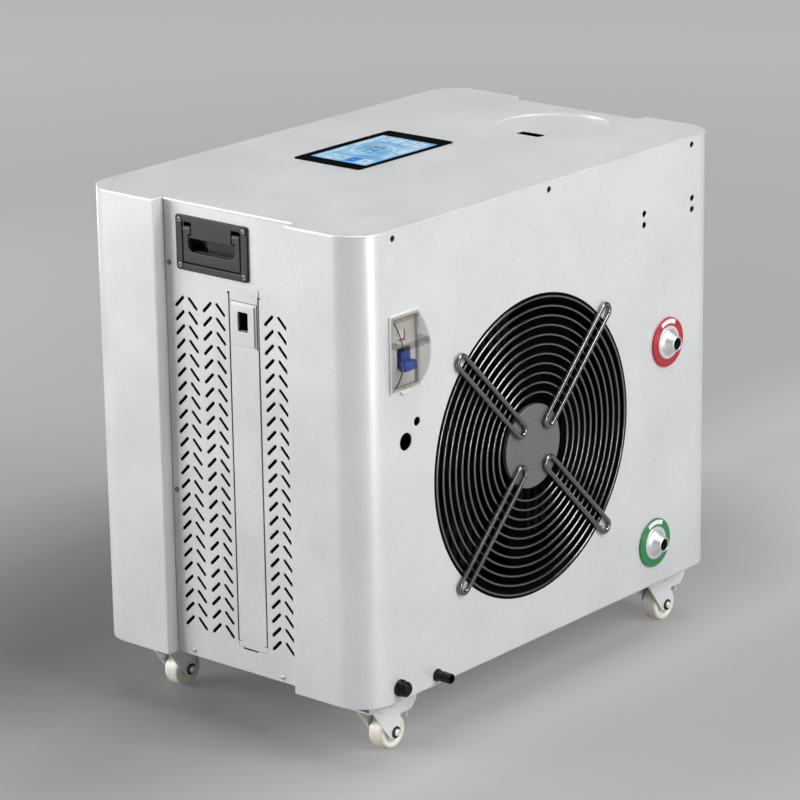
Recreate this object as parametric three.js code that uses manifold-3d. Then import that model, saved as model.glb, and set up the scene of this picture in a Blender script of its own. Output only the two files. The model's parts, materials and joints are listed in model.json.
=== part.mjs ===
// Ice bath chiller: a sheet-metal cabinet on swivel casters, with a fan, a cooling circuit and a water circuit.
// Millimetres, +Z up. X runs along the fan face, -Y is the fan face, the floor is at Z = 0.

import * as THREE from 'three';
import { mergeVertices } from 'three/addons/utils/BufferGeometryUtils.js';
import Module from 'manifold-3d';

const wasm = await Module();
wasm.setup();

// Driving sizes of the cabinet
const cabinetLength = 730;
const cabinetDepth = 460;
const cabinetHeight = 600;
const floorGap = 86;
const sheet = 2;
const cornerRadius = 46;
const endRecess = 19;
const frontStrip = 120;
const rearStrip = 124;

// Gaps that every fit uses
const seat = 0.3;
const running = 1;
const overrun = 1;

// Facets of round pieces
const fineSides = 40;
const roundSides = 20;
const smallSides = 12;
const pipeSides = 8;

// Planes that follow from the driving sizes
const left = -cabinetLength / 2;
const right = cabinetLength / 2;
const front = -cabinetDepth / 2;
const rear = cabinetDepth / 2;
const bottom = floorGap;
const top = floorGap + cabinetHeight;
const underTop = top - sheet;
const recessFront = front + frontStrip;
const recessRear = rear - rearStrip;
const innerFront = front + sheet + seat;
const innerRear = rear - sheet - seat;
const panFloor = bottom + sheet + seat;

// Solids and meshes

const axisBases = {
  x: new THREE.Matrix4().makeBasis(
    new THREE.Vector3(0, 1, 0), new THREE.Vector3(0, 0, 1), new THREE.Vector3(1, 0, 0)),
  y: new THREE.Matrix4().makeBasis(
    new THREE.Vector3(1, 0, 0), new THREE.Vector3(0, 0, 1), new THREE.Vector3(0, -1, 0)),
  z: new THREE.Matrix4(),
};

function signedVolume(positions, corners) {
  const [a, b, c] = [new THREE.Vector3(), new THREE.Vector3(), new THREE.Vector3()];
  let sum = 0;
  for (let i = 0; i < corners.length; i += 3) {
    a.fromArray(positions, corners[i] * 3);
    b.fromArray(positions, corners[i + 1] * 3);
    c.fromArray(positions, corners[i + 2] * 3);
    sum += a.dot(b.cross(c));
  }
  return sum;
}

// A closed geometry as a solid, with its faces turned outwards
function solidOf(geometry) {
  const bare = geometry.clone();
  bare.deleteAttribute('normal');
  bare.deleteAttribute('uv');
  const merged = mergeVertices(bare);
  const vertProperties = new Float32Array(merged.attributes.position.array);
  const triVerts = Uint32Array.from(merged.index.array);
  if (signedVolume(vertProperties, triVerts) < 0) triVerts.reverse();
  return new wasm.Manifold(new wasm.Mesh({ numProp: 3, vertProperties, triVerts }));
}

function addMesh(parent, name, solid, finish) {
  const { vertProperties, triVerts } = solid.getMesh();
  const geometry = new THREE.BufferGeometry();
  geometry.setAttribute('position', new THREE.BufferAttribute(new Float32Array(vertProperties), 3));
  geometry.setIndex(new THREE.BufferAttribute(new Uint32Array(triVerts), 1));
  geometry.computeVertexNormals();
  const mesh = new THREE.Mesh(geometry, new THREE.MeshStandardMaterial(finish));
  mesh.name = name;
  parent.add(mesh);
  return mesh;
}

// A shape drawn in (y, z), (x, z) or (x, y) that runs along X, Y or Z between two places
function extrude(shape, axis, from, to, curveSegments = smallSides / 2) {
  const geometry = new THREE.ExtrudeGeometry(shape, { depth: to - from, bevelEnabled: false, curveSegments });
  geometry.applyMatrix4(axisBases[axis]);
  const start = { x: [from, 0, 0], y: [0, to, 0], z: [0, 0, from] }[axis];
  return solidOf(geometry.translate(...start));
}

function polygon(points) {
  return new THREE.Shape(points.map(([u, v]) => new THREE.Vector2(u, v)));
}

function rectangle(u0, u1, v0, v1) {
  return polygon([[u0, v0], [u1, v0], [u1, v1], [u0, v1]]);
}

function roundedRectangle(u0, u1, v0, v1, radius) {
  const shape = new THREE.Shape();
  shape.moveTo(u0 + radius, v0);
  shape.absarc(u1 - radius, v0 + radius, radius, -Math.PI / 2, 0);
  shape.absarc(u1 - radius, v1 - radius, radius, 0, Math.PI / 2);
  shape.absarc(u0 + radius, v1 - radius, radius, Math.PI / 2, Math.PI);
  shape.absarc(u0 + radius, v0 + radius, radius, Math.PI, Math.PI * 3 / 2);
  return shape;
}

function block([x0, x1], [y0, y1], [z0, z1]) {
  return extrude(rectangle(x0, x1, y0, y1), 'z', z0, z1);
}

// A profile of [radius, place along the axis] turned about an axis through a centre
function turn(profile, axis, centre, sides, startAngle = 0) {
  const points = profile.map(([radius, place]) => new THREE.Vector2(radius, place));
  const geometry = new THREE.LatheGeometry(points, sides, startAngle);
  if (axis === 'x') geometry.rotateZ(-Math.PI / 2);
  if (axis === 'z') geometry.rotateX(Math.PI / 2);
  return solidOf(geometry.translate(...centre));
}

function cylinder(axis, centre, radius, from, to, sides = smallSides) {
  return turn([[0, from], [radius, from], [radius, to], [0, to]], axis, centre, sides);
}

function tube(axis, centre, outer, inner, from, to, sides = roundSides) {
  return turn([[inner, from], [outer, from], [outer, to], [inner, to], [inner, from]], axis, centre, sides);
}

// A pipe of round section along a smooth route
function pipe(points, radius, steps) {
  const route = new THREE.CatmullRomCurve3(points.map((point) => new THREE.Vector3(...point)), false, 'centripetal');
  const section = polygon(ring(pipeSides, radius));
  return solidOf(new THREE.ExtrudeGeometry(section, { steps, bevelEnabled: false, extrudePath: route }));
}

function ring(count, radius, startAngle = 0) {
  return Array.from({ length: count }, (_, i) => {
    const angle = startAngle + i * 2 * Math.PI / count;
    return [radius * Math.cos(angle), radius * Math.sin(angle)];
  });
}

function joined(solids) {
  return solids.reduce((whole, piece) => whole.add(piece));
}

function cut(solid, tools) {
  return tools.reduce((rest, tool) => rest.subtract(tool), solid);
}

// Finishes, as colour, roughness and metalness
const finishes = {
  powderCoat: { color: 0xd6d7d8, roughness: 0.55, metalness: 0.1 },
  blackWire: { color: 0x2c2d2e, roughness: 0.3, metalness: 0.3 },
  darkMotor: { color: 0x757677, roughness: 0.45, metalness: 0.4 },
  blackPlastic: { color: 0x1d1d1e, roughness: 0.5, metalness: 0 },
  handleGrey: { color: 0x4a4b4c, roughness: 0.5, metalness: 0.2 },
  ivory: { color: 0xe4e2da, roughness: 0.4, metalness: 0 },
  clearLid: { color: 0xb8bab6, roughness: 0.1, metalness: 0 },
  leverBlue: { color: 0x33489c, roughness: 0.4, metalness: 0 },
  ringRed: { color: 0xc53338, roughness: 0.4, metalness: 0 },
  ringGreen: { color: 0x3f8f58, roughness: 0.4, metalness: 0 },
  nozzle: { color: 0xd9dadb, roughness: 0.25, metalness: 1 },
  zinc: { color: 0xc9cccd, roughness: 0.35, metalness: 0.9 },
  nylon: { color: 0xe9e4cf, roughness: 0.45, metalness: 0 },
  screenBlue: { color: 0x9cc4e6, roughness: 0.15, metalness: 0 },
  aluminium: { color: 0xb9bcbe, roughness: 0.4, metalness: 0.9 },
  copper: { color: 0xb8724a, roughness: 0.35, metalness: 1 },
  compressorBlack: { color: 0x232426, roughness: 0.4, metalness: 0.5 },
  waterHose: { color: 0x8f9496, roughness: 0.6, metalness: 0 },
  filterBlue: { color: 0x2f5fa8, roughness: 0.3, metalness: 0 },
};

const chiller = new THREE.Group();

// Cabinet

// Plan of the cabinet, with its rounded corners and the recess in each end, drawn in by an inset
function planOutline(inset) {
  const [x0, x1, y0, y1] = [left + inset, right - inset, front + inset, rear - inset];
  const radius = cornerRadius - inset;
  const shape = new THREE.Shape();
  shape.moveTo(x0 + radius, y0);
  shape.absarc(x1 - radius, y0 + radius, radius, -Math.PI / 2, 0);
  shape.lineTo(x1, recessFront - inset);
  shape.lineTo(x1 - endRecess, recessFront - inset);
  shape.lineTo(x1 - endRecess, recessRear + inset);
  shape.lineTo(x1, recessRear + inset);
  shape.absarc(x1 - radius, y1 - radius, radius, 0, Math.PI / 2);
  shape.absarc(x0 + radius, y1 - radius, radius, Math.PI / 2, Math.PI);
  shape.lineTo(x0, recessRear + inset);
  shape.lineTo(x0 + endRecess, recessRear + inset);
  shape.lineTo(x0 + endRecess, recessFront - inset);
  shape.lineTo(x0, recessFront - inset);
  shape.absarc(x0 + radius, y0 + radius, radius, Math.PI, Math.PI * 3 / 2);
  return shape;
}

// A wall that follows the plan between two insets and two heights
function planWall(outerInset, innerInset, from, to) {
  return extrude(planOutline(outerInset), 'z', from, to)
    .subtract(extrude(planOutline(innerInset), 'z', from - overrun, to + overrun));
}

// The fan's opening fills the room that the face leaves beside, under and over it
const fanRoom = { breakerSide: 132, portSide: 202, below: 63.5, above: 140.5 };
const fanAcross = cabinetLength - fanRoom.breakerSide - fanRoom.portSide;
const fanUpright = cabinetHeight - fanRoom.below - fanRoom.above;
const fanOpening = Math.min(fanAcross, fanUpright) / 2;
const fanX = left + fanRoom.breakerSide + fanOpening;
const fanZ = bottom + fanRoom.below + fanOpening;

const fan = {
  throatInset: 20, rimOutset: 12, shroudDepth: 66, shroudWall: 2,
  tipGap: 7, bladeCount: 5, bladeThickness: 3, bladeChord: 96, bladePitch: Math.PI / 7,
  hubRadius: 52, hubFront: 12, hubDepth: 44, hubWall: 4,
  motorRadius: 55, motorPlate: 7, statorRadius: 46, statorDepth: 40, shaftRadius: 6,
};
const throatRadius = fanOpening - fan.throatInset;

const breaker = {
  fromLeft: 77.8, belowTop: 153.5, width: 56.5, height: 98.5, flange: 2,
  opening: 46, openingHeight: 86, skirtWall: 2, skirtDepth: 30,
  lidInset: 2.5, lidBulge: 19, lidWall: 1.6,
  moduleDepth: 62, moduleSink: 3, noseHeight: 44, noseDepth: 2.5,
  leverWidth: 30, leverRadius: 8, leverReach: 22, leverThickness: 6, leverPaddleWidth: 21, leverDrop: 11,
  leverTilt: 25,
  buttonRadius: 3.2, buttonProud: 2, buttonLength: 9, buttonAside: 12, buttonRise: 16,
};
const breakerX = left + breaker.fromLeft;
const breakerZ = top - breaker.belowTop;

const port = {
  ringRadius: 33.5, ringThickness: 1.2, flangeRadius: 22.5, flangeThickness: 2.6,
  baseRadius: 10.8, tipRadius: 9.2, boreRadius: 7.4, reach: 18, tail: 34,
  outletFromRight: 113.8, outletFromBottom: 332.8, inletFromRight: 140, inletFromBottom: 59.6,
};
const outletPlace = [right - port.outletFromRight, bottom + port.outletFromBottom];
const inletPlace = [right - port.inletFromRight, bottom + port.inletFromBottom];

const drain = {
  plugFromLeft: 60.3, plugFromBottom: 18.1, collarRadius: 11, collarReach: 6,
  stubRadius: 6, stubReach: 12, tailRadius: 7, tail: 16,
  capRadius: 9.8, capReach: 14.4,
  spoutFromLeft: 132.5, spoutFromBottom: 12.4, spoutFlange: 8, spoutFlangeThickness: 2.5,
  spoutRadius: 6.6, spoutBore: 4.8, spoutReach: 24,
};
const plugPlace = [left + drain.plugFromLeft, bottom + drain.plugFromBottom];
const spoutPlace = [left + drain.spoutFromLeft, bottom + drain.spoutFromBottom];

// Free holes in the fan face: two cable holes and two pairs of lifting-strap holes
const faceHoles = {
  cableRadius: 11.2, cableFromLeft: 79.1, cableBelowBreaker: 114.8,
  probeRadius: 5.8, probeFromLeft: 100.9, probeBelowBreaker: 94.2,
  pairRadius: 3.5, pairFromRight: 59.2, pairSpread: 105.8, pairBelowTop: 83, pairPitch: 15,
};

function faceHole(x, z, radius, sides) {
  return cylinder('y', [x, front, z], radius, -overrun, sheet + overrun, sides);
}

// Front wall: the fan face, both front corners and the strips beside the end recesses
function buildFrontPanel() {
  const wall = planWall(0, sheet, bottom, underTop - seat)
    .intersect(block([left - overrun, right + overrun], [front - overrun, recessFront], [0, top]));
  const pairX = right - faceHoles.pairFromRight;
  const pairZ = top - faceHoles.pairBelowTop;
  const halfWidth = breaker.opening / 2 + breaker.skirtWall + seat;
  const halfHeight = breaker.openingHeight / 2 + breaker.skirtWall + seat;
  const holes = [
    faceHole(fanX, fanZ, fanOpening, fineSides),
    faceHole(...outletPlace, port.baseRadius + seat, roundSides),
    faceHole(...inletPlace, port.baseRadius + seat, roundSides),
    faceHole(...plugPlace, drain.tailRadius + seat, smallSides),
    faceHole(...spoutPlace, drain.spoutRadius + seat, smallSides),
    faceHole(left + faceHoles.cableFromLeft, breakerZ - faceHoles.cableBelowBreaker, faceHoles.cableRadius, roundSides),
    faceHole(left + faceHoles.probeFromLeft, breakerZ - faceHoles.probeBelowBreaker, faceHoles.probeRadius, smallSides),
    block([breakerX - halfWidth, breakerX + halfWidth], [front - overrun, front + sheet + overrun],
      [breakerZ - halfHeight, breakerZ + halfHeight]),
  ];
  for (const x of [pairX, pairX - faceHoles.pairSpread]) {
    for (const z of [pairZ, pairZ - faceHoles.pairPitch]) holes.push(faceHole(x, z, faceHoles.pairRadius, pipeSides));
  }
  addMesh(chiller, 'front_panel', cut(wall, holes), finishes.powderCoat);
}

function buildRearPanel() {
  const wall = planWall(0, sheet, bottom, underTop - seat)
    .intersect(block([left - overrun, right + overrun], [recessRear, rear + overrun], [0, top]));
  addMesh(chiller, 'rear_panel', wall, finishes.powderCoat);
}

const louvre = {
  rows: 24, lowestRow: 46.9, aboveRows: 130.59, length: 20, width: 3.4, halfSpread: 11.1,
  frontColumn: 153.8, middleColumn: 255.8, rearColumn: 302.3,
};
const louvrePitch = (cabinetHeight - louvre.lowestRow - louvre.aboveRows) / (louvre.rows - 1);

const handle = {
  fromFront: 254.5, belowTop: 53, width: 119, height: 70.5, plate: 2.5, cornerRadius: 4,
  cupWidth: 91, cupHeight: 50.5, cupDepth: 23, cupWall: 2, shelfDepth: 8, tongueBelowTop: 28,
  bailArm: 8.5, bailBar: 14, bailThickness: 6, pinRadius: 2, pinReach: 2.6,
};
const handleY = front + handle.fromFront;
const handleZ = top - handle.belowTop;

const cover = {
  fromFront: 205.7, width: 49.5, lowEdge: 29.4, highEdgeBelowTop: 95.4, gap: 1.4,
  tabWidth: 30, tabDrop: 9, pullWidth: 36, pullHeight: 55, pullBelowTop: 18.6, pullGap: 0.8, pullRim: 3,
  pullHoleWidth: 14.5, pullHoleHeight: 21, pullHoleBelow: 14.4, lipHeight: 7,
};
const coverY = front + cover.fromFront;
const coverLow = bottom + cover.lowEdge;
const coverHigh = top - cover.highEdgeBelowTop;

// One louvre slot, leaning 45 degrees forwards or backwards
function slotHole(y, z, lean) {
  const [halfLength, halfWidth] = [louvre.length / 2, louvre.width / 2];
  const corners = [[-halfLength, -halfWidth], [halfLength, -halfWidth], [halfLength, halfWidth], [-halfLength, halfWidth]];
  const angle = lean * Math.PI / 4;
  return new THREE.Path(corners.map(([along, across]) => new THREE.Vector2(
    y + along * Math.cos(angle) - across * Math.sin(angle),
    z + along * Math.sin(angle) + across * Math.cos(angle))));
}

// End wall with its chevron louvres and the cut-out for the handle; side is -1 at the left end, 1 at the right
function buildEndPanel(name, side) {
  const shape = rectangle(recessFront + seat, recessRear - seat, bottom, underTop - seat);
  const columns = side < 0 ? [louvre.frontColumn, louvre.middleColumn, louvre.rearColumn]
    : [louvre.frontColumn, louvre.rearColumn];
  for (const column of columns) {
    for (let row = 0; row < louvre.rows; row++) {
      const [y, z] = [front + column, bottom + louvre.lowestRow + row * louvrePitch];
      shape.holes.push(slotHole(y - louvre.halfSpread, z, 1), slotHole(y + louvre.halfSpread, z, -1));
    }
  }
  const halfWidth = handle.cupWidth / 2 + handle.cupWall + seat;
  const halfHeight = handle.cupHeight / 2 + handle.cupWall + seat;
  shape.holes.push(rectangle(handleY - halfWidth, handleY + halfWidth, handleZ - halfHeight, handleZ + halfHeight));
  if (side < 0) {
    shape.holes.push(rectangle(coverY - cover.width / 2, coverY + cover.width / 2, coverLow, coverHigh));
  }
  const outer = side * (cabinetLength / 2 - endRecess);
  const inner = outer - side * sheet;
  addMesh(chiller, name, extrude(shape, 'x', Math.min(outer, inner), Math.max(outer, inner)), finishes.powderCoat);
}

const lid = {
  radius: 78.8, gap: 1, fromRight: 119.7, fromFront: 183.6, ledge: 8, ledgeThickness: 3,
  slotWidth: 13.5, slotLength: 37, slotFromCentre: 49,
};
const lidX = right - lid.fromRight;
const lidY = front + lid.fromFront;

const display = {
  fromRight: 368.2, fromFront: 284.8, width: 190.5, depth: 111.5, flange: 1.5, cornerRadius: 4,
  bodyInset: 4, bodyDepth: 24, glassWidth: 145, glassDepth: 92.4, glassShiftX: 2.8, glassShiftY: 2.6,
  glassThickness: 1.2, glassGap: 0.3, boardPocket: 14, pocketInset: 6,
};
const displayX = right - display.fromRight;
const displayY = front + display.fromFront;

const coverLip = { height: 20, thickness: 2 };

// Top cover: a flat plate with a turned-down lip, the ledge that carries the filter lid, and the display cut-out
function buildTopCover() {
  const holeRadius = lid.radius + lid.gap;
  const ledgeInner = lid.radius - lid.ledge;
  const lip = planWall(sheet + seat, sheet + seat + coverLip.thickness, underTop - coverLip.height, underTop + seat);
  const ledge = tube('z', [lidX, lidY, underTop], holeRadius + lid.ledge, ledgeInner,
    -lid.ledgeThickness - seat, seat, fineSides);
  const halfWidth = display.width / 2 - display.bodyInset + seat;
  const halfDepth = display.depth / 2 - display.bodyInset + seat;
  const solid = joined([extrude(planOutline(0), 'z', underTop, top), lip, ledge]);
  const holes = [
    cylinder('z', [lidX, lidY, underTop], ledgeInner, -lid.ledgeThickness - overrun, sheet + overrun, fineSides),
    cylinder('z', [lidX, lidY, underTop], holeRadius, -seat, sheet + overrun, fineSides),
    block([displayX - halfWidth, displayX + halfWidth], [displayY - halfDepth, displayY + halfDepth],
      [underTop - overrun, top + overrun]),
  ];
  addMesh(chiller, 'top_cover', cut(solid, holes), finishes.powderCoat);
}

// Round lid over the filter, with a slot for a finger
function buildFilterLid() {
  const disc = cylinder('z', [lidX, lidY, top], lid.radius, -sheet, 0, fineSides);
  const slotX = lidX - lid.slotFromCentre;
  const slot = block([slotX - lid.slotWidth / 2, slotX + lid.slotWidth / 2],
    [lidY - lid.slotLength / 2, lidY + lid.slotLength / 2], [underTop - overrun, top + overrun]);
  addMesh(chiller, 'filter_lid', disc.subtract(slot), finishes.powderCoat);
}

const rail = { fromEnd: 30, width: 62, height: 15, wall: 2 };
const caster = {
  fromEnd: 76, fromFace: 54, trail: 21, wheelRadius: 23, wheelWidth: 22,
  plateLength: 64, plateWidth: 58, plateThickness: 2.5, pinRadius: 6, pinHead: 10, pinHeadThickness: 2.5,
  plateCorner: 5,
  dishRadius: 28, steel: 2.2, forkWidth: 30.8, forkNose: 27, forkTail: 62, tailDrop: 11,
  tailCorner: 52, legHeight: 45.5, legFront: 10, legRear: 9, tipRadius: 9, lipWidth: 16, lipDrop: 12,
  axleRadius: 4, axleHead: 6.6, axleHeadThickness: 3, hubRadius: 8, treadRound: 3,
};
const casterX = cabinetLength / 2 - caster.fromEnd;
const casterY = cabinetDepth / 2 - caster.fromFace;
const casterTop = bottom - rail.height - seat;

const panLip = { height: 16, thickness: 2 };

// Base pan with its upturned lip and the two box rails welded under it
function buildBasePan() {
  const inset = sheet + seat;
  const pan = extrude(planOutline(inset), 'z', bottom, bottom + sheet);
  const lip = planWall(inset, inset + panLip.thickness, bottom + sheet / 2, bottom + panLip.height);
  const rails = [-casterY, casterY].map((y) => {
    const [x0, x1] = [left + rail.fromEnd, right - rail.fromEnd];
    const [y0, y1] = [y - rail.width / 2, y + rail.width / 2];
    const outer = block([x0, x1], [y0, y1], [bottom - rail.height, bottom + sheet / 2]);
    return outer.subtract(block([x0 - overrun, x1 + overrun], [y0 + rail.wall, y1 - rail.wall],
      [bottom - rail.height + rail.wall, bottom - rail.wall]));
  });
  const lipHole = ([x, z], radius) => cylinder('y', [x, front, z], radius, 0, inset + panLip.thickness + overrun);
  const holes = [
    lipHole(plugPlace, drain.collarRadius + seat),
    lipHole(spoutPlace, drain.spoutRadius + seat),
  ];
  addMesh(chiller, 'base_pan', cut(joined([pan, lip, ...rails]), holes), finishes.powderCoat);
}

// Narrow service cover in the left end: it hooks in at its foot and tips outwards
function buildServiceCover() {
  const outer = left + endRecess;
  const [y0, y1] = [coverY - cover.width / 2 + cover.gap, coverY + cover.width / 2 - cover.gap];
  const [z0, z1] = [coverLow + cover.gap, coverHigh - cover.gap];
  const plate = block([outer, outer + sheet], [y0, y1], [z0, z1]);
  const hookFront = outer + sheet + seat;
  const hook = block([hookFront, hookFront + sheet], [coverY - cover.tabWidth / 2, coverY + cover.tabWidth / 2],
    [coverLow - cover.tabDrop, z0 + cover.tabDrop]);
  const bridge = block([outer + sheet / 2, hookFront + sheet],
    [coverY - cover.tabWidth / 2, coverY + cover.tabWidth / 2], [z0 + cover.tabDrop / 2, z0 + cover.tabDrop]);
  const pullTop = coverHigh - cover.pullBelowTop;
  const window = block([outer - overrun, outer + sheet + overrun],
    [coverY - cover.pullWidth / 2 - cover.pullGap, coverY + cover.pullWidth / 2 + cover.pullGap],
    [pullTop - cover.pullHeight - cover.pullGap, pullTop + cover.pullGap]);
  addMesh(chiller, 'service_cover', joined([plate, hook, bridge]).subtract(window), finishes.powderCoat);

  // Finger pull, clipped in behind its window
  const face = block([outer, outer + sheet + seat], [coverY - cover.pullWidth / 2, coverY + cover.pullWidth / 2],
    [pullTop - cover.pullHeight, pullTop]);
  const rimHalf = cover.pullWidth / 2 + cover.pullRim;
  const rim = block([outer + sheet + seat, outer + sheet + seat + sheet], [coverY - rimHalf, coverY + rimHalf],
    [pullTop - cover.pullHeight - cover.pullRim, pullTop + cover.pullRim]);
  const holeTop = pullTop - cover.pullHoleBelow;
  const finger = block([outer - overrun, outer + sheet * 3],
    [coverY - cover.pullHoleWidth / 2, coverY + cover.pullHoleWidth / 2], [holeTop - cover.pullHoleHeight, holeTop]);
  const lip = block([outer - sheet / 2, outer + sheet / 2],
    [coverY - cover.pullHoleWidth / 2, coverY + cover.pullHoleWidth / 2],
    [holeTop - cover.pullHoleHeight - cover.lipHeight, holeTop - cover.pullHoleHeight]);
  addMesh(chiller, 'cover_pull', joined([face, rim]).subtract(finger).add(lip), finishes.powderCoat);
}

// Display

function buildDisplay() {
  const [x0, x1] = [displayX - display.width / 2, displayX + display.width / 2];
  const [y0, y1] = [displayY - display.depth / 2, displayY + display.depth / 2];
  const flangeLow = top + seat;
  const flangeHigh = flangeLow + display.flange;
  const inset = display.bodyInset;
  const flange = extrude(roundedRectangle(x0, x1, y0, y1, display.cornerRadius), 'z', flangeLow, flangeHigh, 3);
  const body = block([x0 + inset, x1 - inset], [y0 + inset, y1 - inset], [top - display.bodyDepth, flangeLow + seat]);
  const glassX = displayX - display.glassShiftX;
  const glassY = displayY - display.glassShiftY;
  const [halfWidth, halfDepth] = [display.glassWidth / 2, display.glassDepth / 2];
  const glassLow = flangeHigh - display.glassThickness;
  const pocket = block([glassX - halfWidth - display.glassGap, glassX + halfWidth + display.glassGap],
    [glassY - halfDepth - display.glassGap, glassY + halfDepth + display.glassGap], [glassLow - seat, top * 2]);
  const boardSpace = block([glassX - halfWidth + display.pocketInset, glassX + halfWidth - display.pocketInset],
    [glassY - halfDepth + display.pocketInset, glassY + halfDepth - display.pocketInset],
    [glassLow - display.boardPocket, top * 2]);
  addMesh(chiller, 'display_frame', cut(flange.add(body), [pocket, boardSpace]), finishes.blackPlastic);
  const glass = block([glassX - halfWidth, glassX + halfWidth], [glassY - halfDepth, glassY + halfDepth],
    [glassLow, flangeHigh]);
  addMesh(chiller, 'display_screen', glass, finishes.screenBlue);
}

// Folding carrying handles, drawn at the left end in a group that the right end turns round

// Section of the handle's cup in (x, z), from its open side inwards, drawn in by an inset
function cupSection(inset, openSide) {
  const [z0, z1] = [-handle.cupHeight / 2 - handle.cupWall + inset, handle.cupHeight / 2 + handle.cupWall - inset];
  const back = handle.cupDepth + handle.cupWall - inset;
  const shelf = handle.shelfDepth + handle.cupWall - inset;
  return polygon([[openSide, z0], [back, z0], [back, 0], [shelf, z1], [openSide, z1]]);
}

function buildHandle(side) {
  const end = new THREE.Group();
  const name = side < 0 ? 'left' : 'right';
  end.position.set(side * (cabinetLength / 2 - endRecess + seat), handleY, handleZ);
  if (side > 0) end.rotation.z = Math.PI;
  const [halfWidth, halfHeight] = [handle.width / 2, handle.height / 2];
  const [cupHalf, cupHigh] = [handle.cupWidth / 2, handle.cupHeight / 2];
  const plate = extrude(roundedRectangle(-halfWidth, halfWidth, -halfHeight, halfHeight, handle.cornerRadius),
    'x', -handle.plate, 0, 3);
  const cup = extrude(cupSection(0, -handle.plate / 2), 'y', -cupHalf - handle.cupWall, cupHalf + handle.cupWall);
  const space = extrude(cupSection(handle.cupWall, -handle.plate - overrun), 'y', -cupHalf, cupHalf);

  // The bail hangs from two pins near the top of the cup
  const bailHalf = cupHalf - running;
  const thick = handle.bailThickness / 2;
  const pivotX = -handle.plate + thick;
  const pivotZ = cupHigh - running - thick;
  const lowZ = -cupHigh + running;
  const pinHole = cylinder('y', [pivotX, 0, pivotZ], handle.pinRadius + seat,
    -bailHalf - handle.pinReach - seat, bailHalf + handle.pinReach + seat, pipeSides);

  // A tongue of the plate fills the top of the opening between the bail's arms
  const tongueHalf = bailHalf - handle.bailArm - running;
  const tongue = block([-handle.plate, 0], [-tongueHalf, tongueHalf],
    [halfHeight - handle.tongueBelowTop, cupHigh + overrun]);
  addMesh(end, `handle_tray_${name}`, cut(plate.add(cup), [space, pinHole]).add(tongue), finishes.handleGrey);

  const round = ring(pipeSides, thick, Math.PI / pipeSides).map(([u, v]) => [u + pivotX, v + pivotZ]);
  const arms = [-1, 1].map((hand) => {
    const [y0, y1] = [hand * bailHalf, hand * (bailHalf - handle.bailArm)].sort((a, b) => a - b);
    const knuckle = extrude(polygon(round), 'y', y0, y1);
    return knuckle.add(block([pivotX - thick * Math.cos(Math.PI / pipeSides), pivotX + thick * Math.cos(Math.PI / pipeSides)],
      [y0, y1], [lowZ, pivotZ]));
  });
  const flat = thick * Math.cos(Math.PI / pipeSides);
  const bar = block([pivotX - flat, pivotX + flat], [-bailHalf, bailHalf], [lowZ, lowZ + handle.bailBar]);
  const pins = [-1, 1].map((hand) => cylinder('y', [pivotX, hand * bailHalf, pivotZ], handle.pinRadius,
    -handle.pinReach, handle.pinReach, pipeSides));
  addMesh(end, `handle_bail_${name}`, joined([...arms, bar, ...pins]), finishes.handleGrey);
  chiller.add(end);
}

// Fan

const guard = {
  ringCount: 11, innerRing: 70.3, outerRingInset: 4.8, wireWidth: 3.4, rodRadius: 3.4, rodSpacing: 17,
  armInner: 29, armOverlap: 18, bite: 1.1, ringSides: 24, loopSides: 8, rodSides: 6,
};

// One hairpin arm along +X: two rods closed by a loop at each end
function hairpin() {
  const half = guard.rodSpacing / 2;
  const [from, to] = [guard.armInner + half, fanOpening + guard.armOverlap - half];
  const rods = [-half, half].map((z) => cylinder('x', [0, 0, z], guard.rodRadius, from, to, guard.rodSides));
  const loop = solidOf(new THREE.TorusGeometry(half, guard.rodRadius, guard.rodSides, guard.loopSides)
    .rotateX(Math.PI / 2));
  const reach = half + guard.rodRadius + overrun;
  const halfLoop = loop.intersect(block([-overrun / 2, reach], [-reach, reach], [-reach, reach]));
  return joined([...rods, halfLoop.translate([to, 0, 0]), halfLoop.rotate([0, 180, 0]).translate([from, 0, 0])]);
}

function buildFanGuard() {
  const rodY = -seat - guard.rodRadius;
  const ringY = -seat - guard.bite + guard.wireWidth / 2;
  const wire = guard.wireWidth / 2;
  const pitch = (fanOpening - guard.outerRingInset - guard.innerRing) / (guard.ringCount - 1);
  const rings = Array.from({ length: guard.ringCount }, (_, i) => {
    const radius = guard.innerRing + i * pitch;
    return tube('y', [0, ringY, 0], radius + wire, radius - wire, -wire, wire, guard.ringSides);
  });
  const arm = hairpin().translate([0, rodY, 0]);
  const arms = [1, 3, 5, 7].map((eighth) => arm.rotate([0, eighth * 45, 0]));
  addMesh(chiller, 'fan_guard', joined([...arms, ...rings]).translate([fanX, front, fanZ]), finishes.blackWire);
}

// Bell-mouthed duct behind the fan opening
function buildFanShroud() {
  const wall = fan.shroudWall;
  const profile = [
    [fanOpening + fan.rimOutset, 0], [fanOpening + fan.rimOutset, wall], [throatRadius + wall * 4, wall],
    [throatRadius + wall, fan.shroudDepth / 3], [throatRadius + wall, fan.shroudDepth],
    [throatRadius, fan.shroudDepth], [throatRadius, fan.shroudDepth / 3],
    [throatRadius + wall * 3, 0], [fanOpening + fan.rimOutset, 0],
  ];
  addMesh(chiller, 'fan_shroud', turn(profile, 'y', [fanX, innerFront, fanZ], roundSides), finishes.blackPlastic);
}

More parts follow.
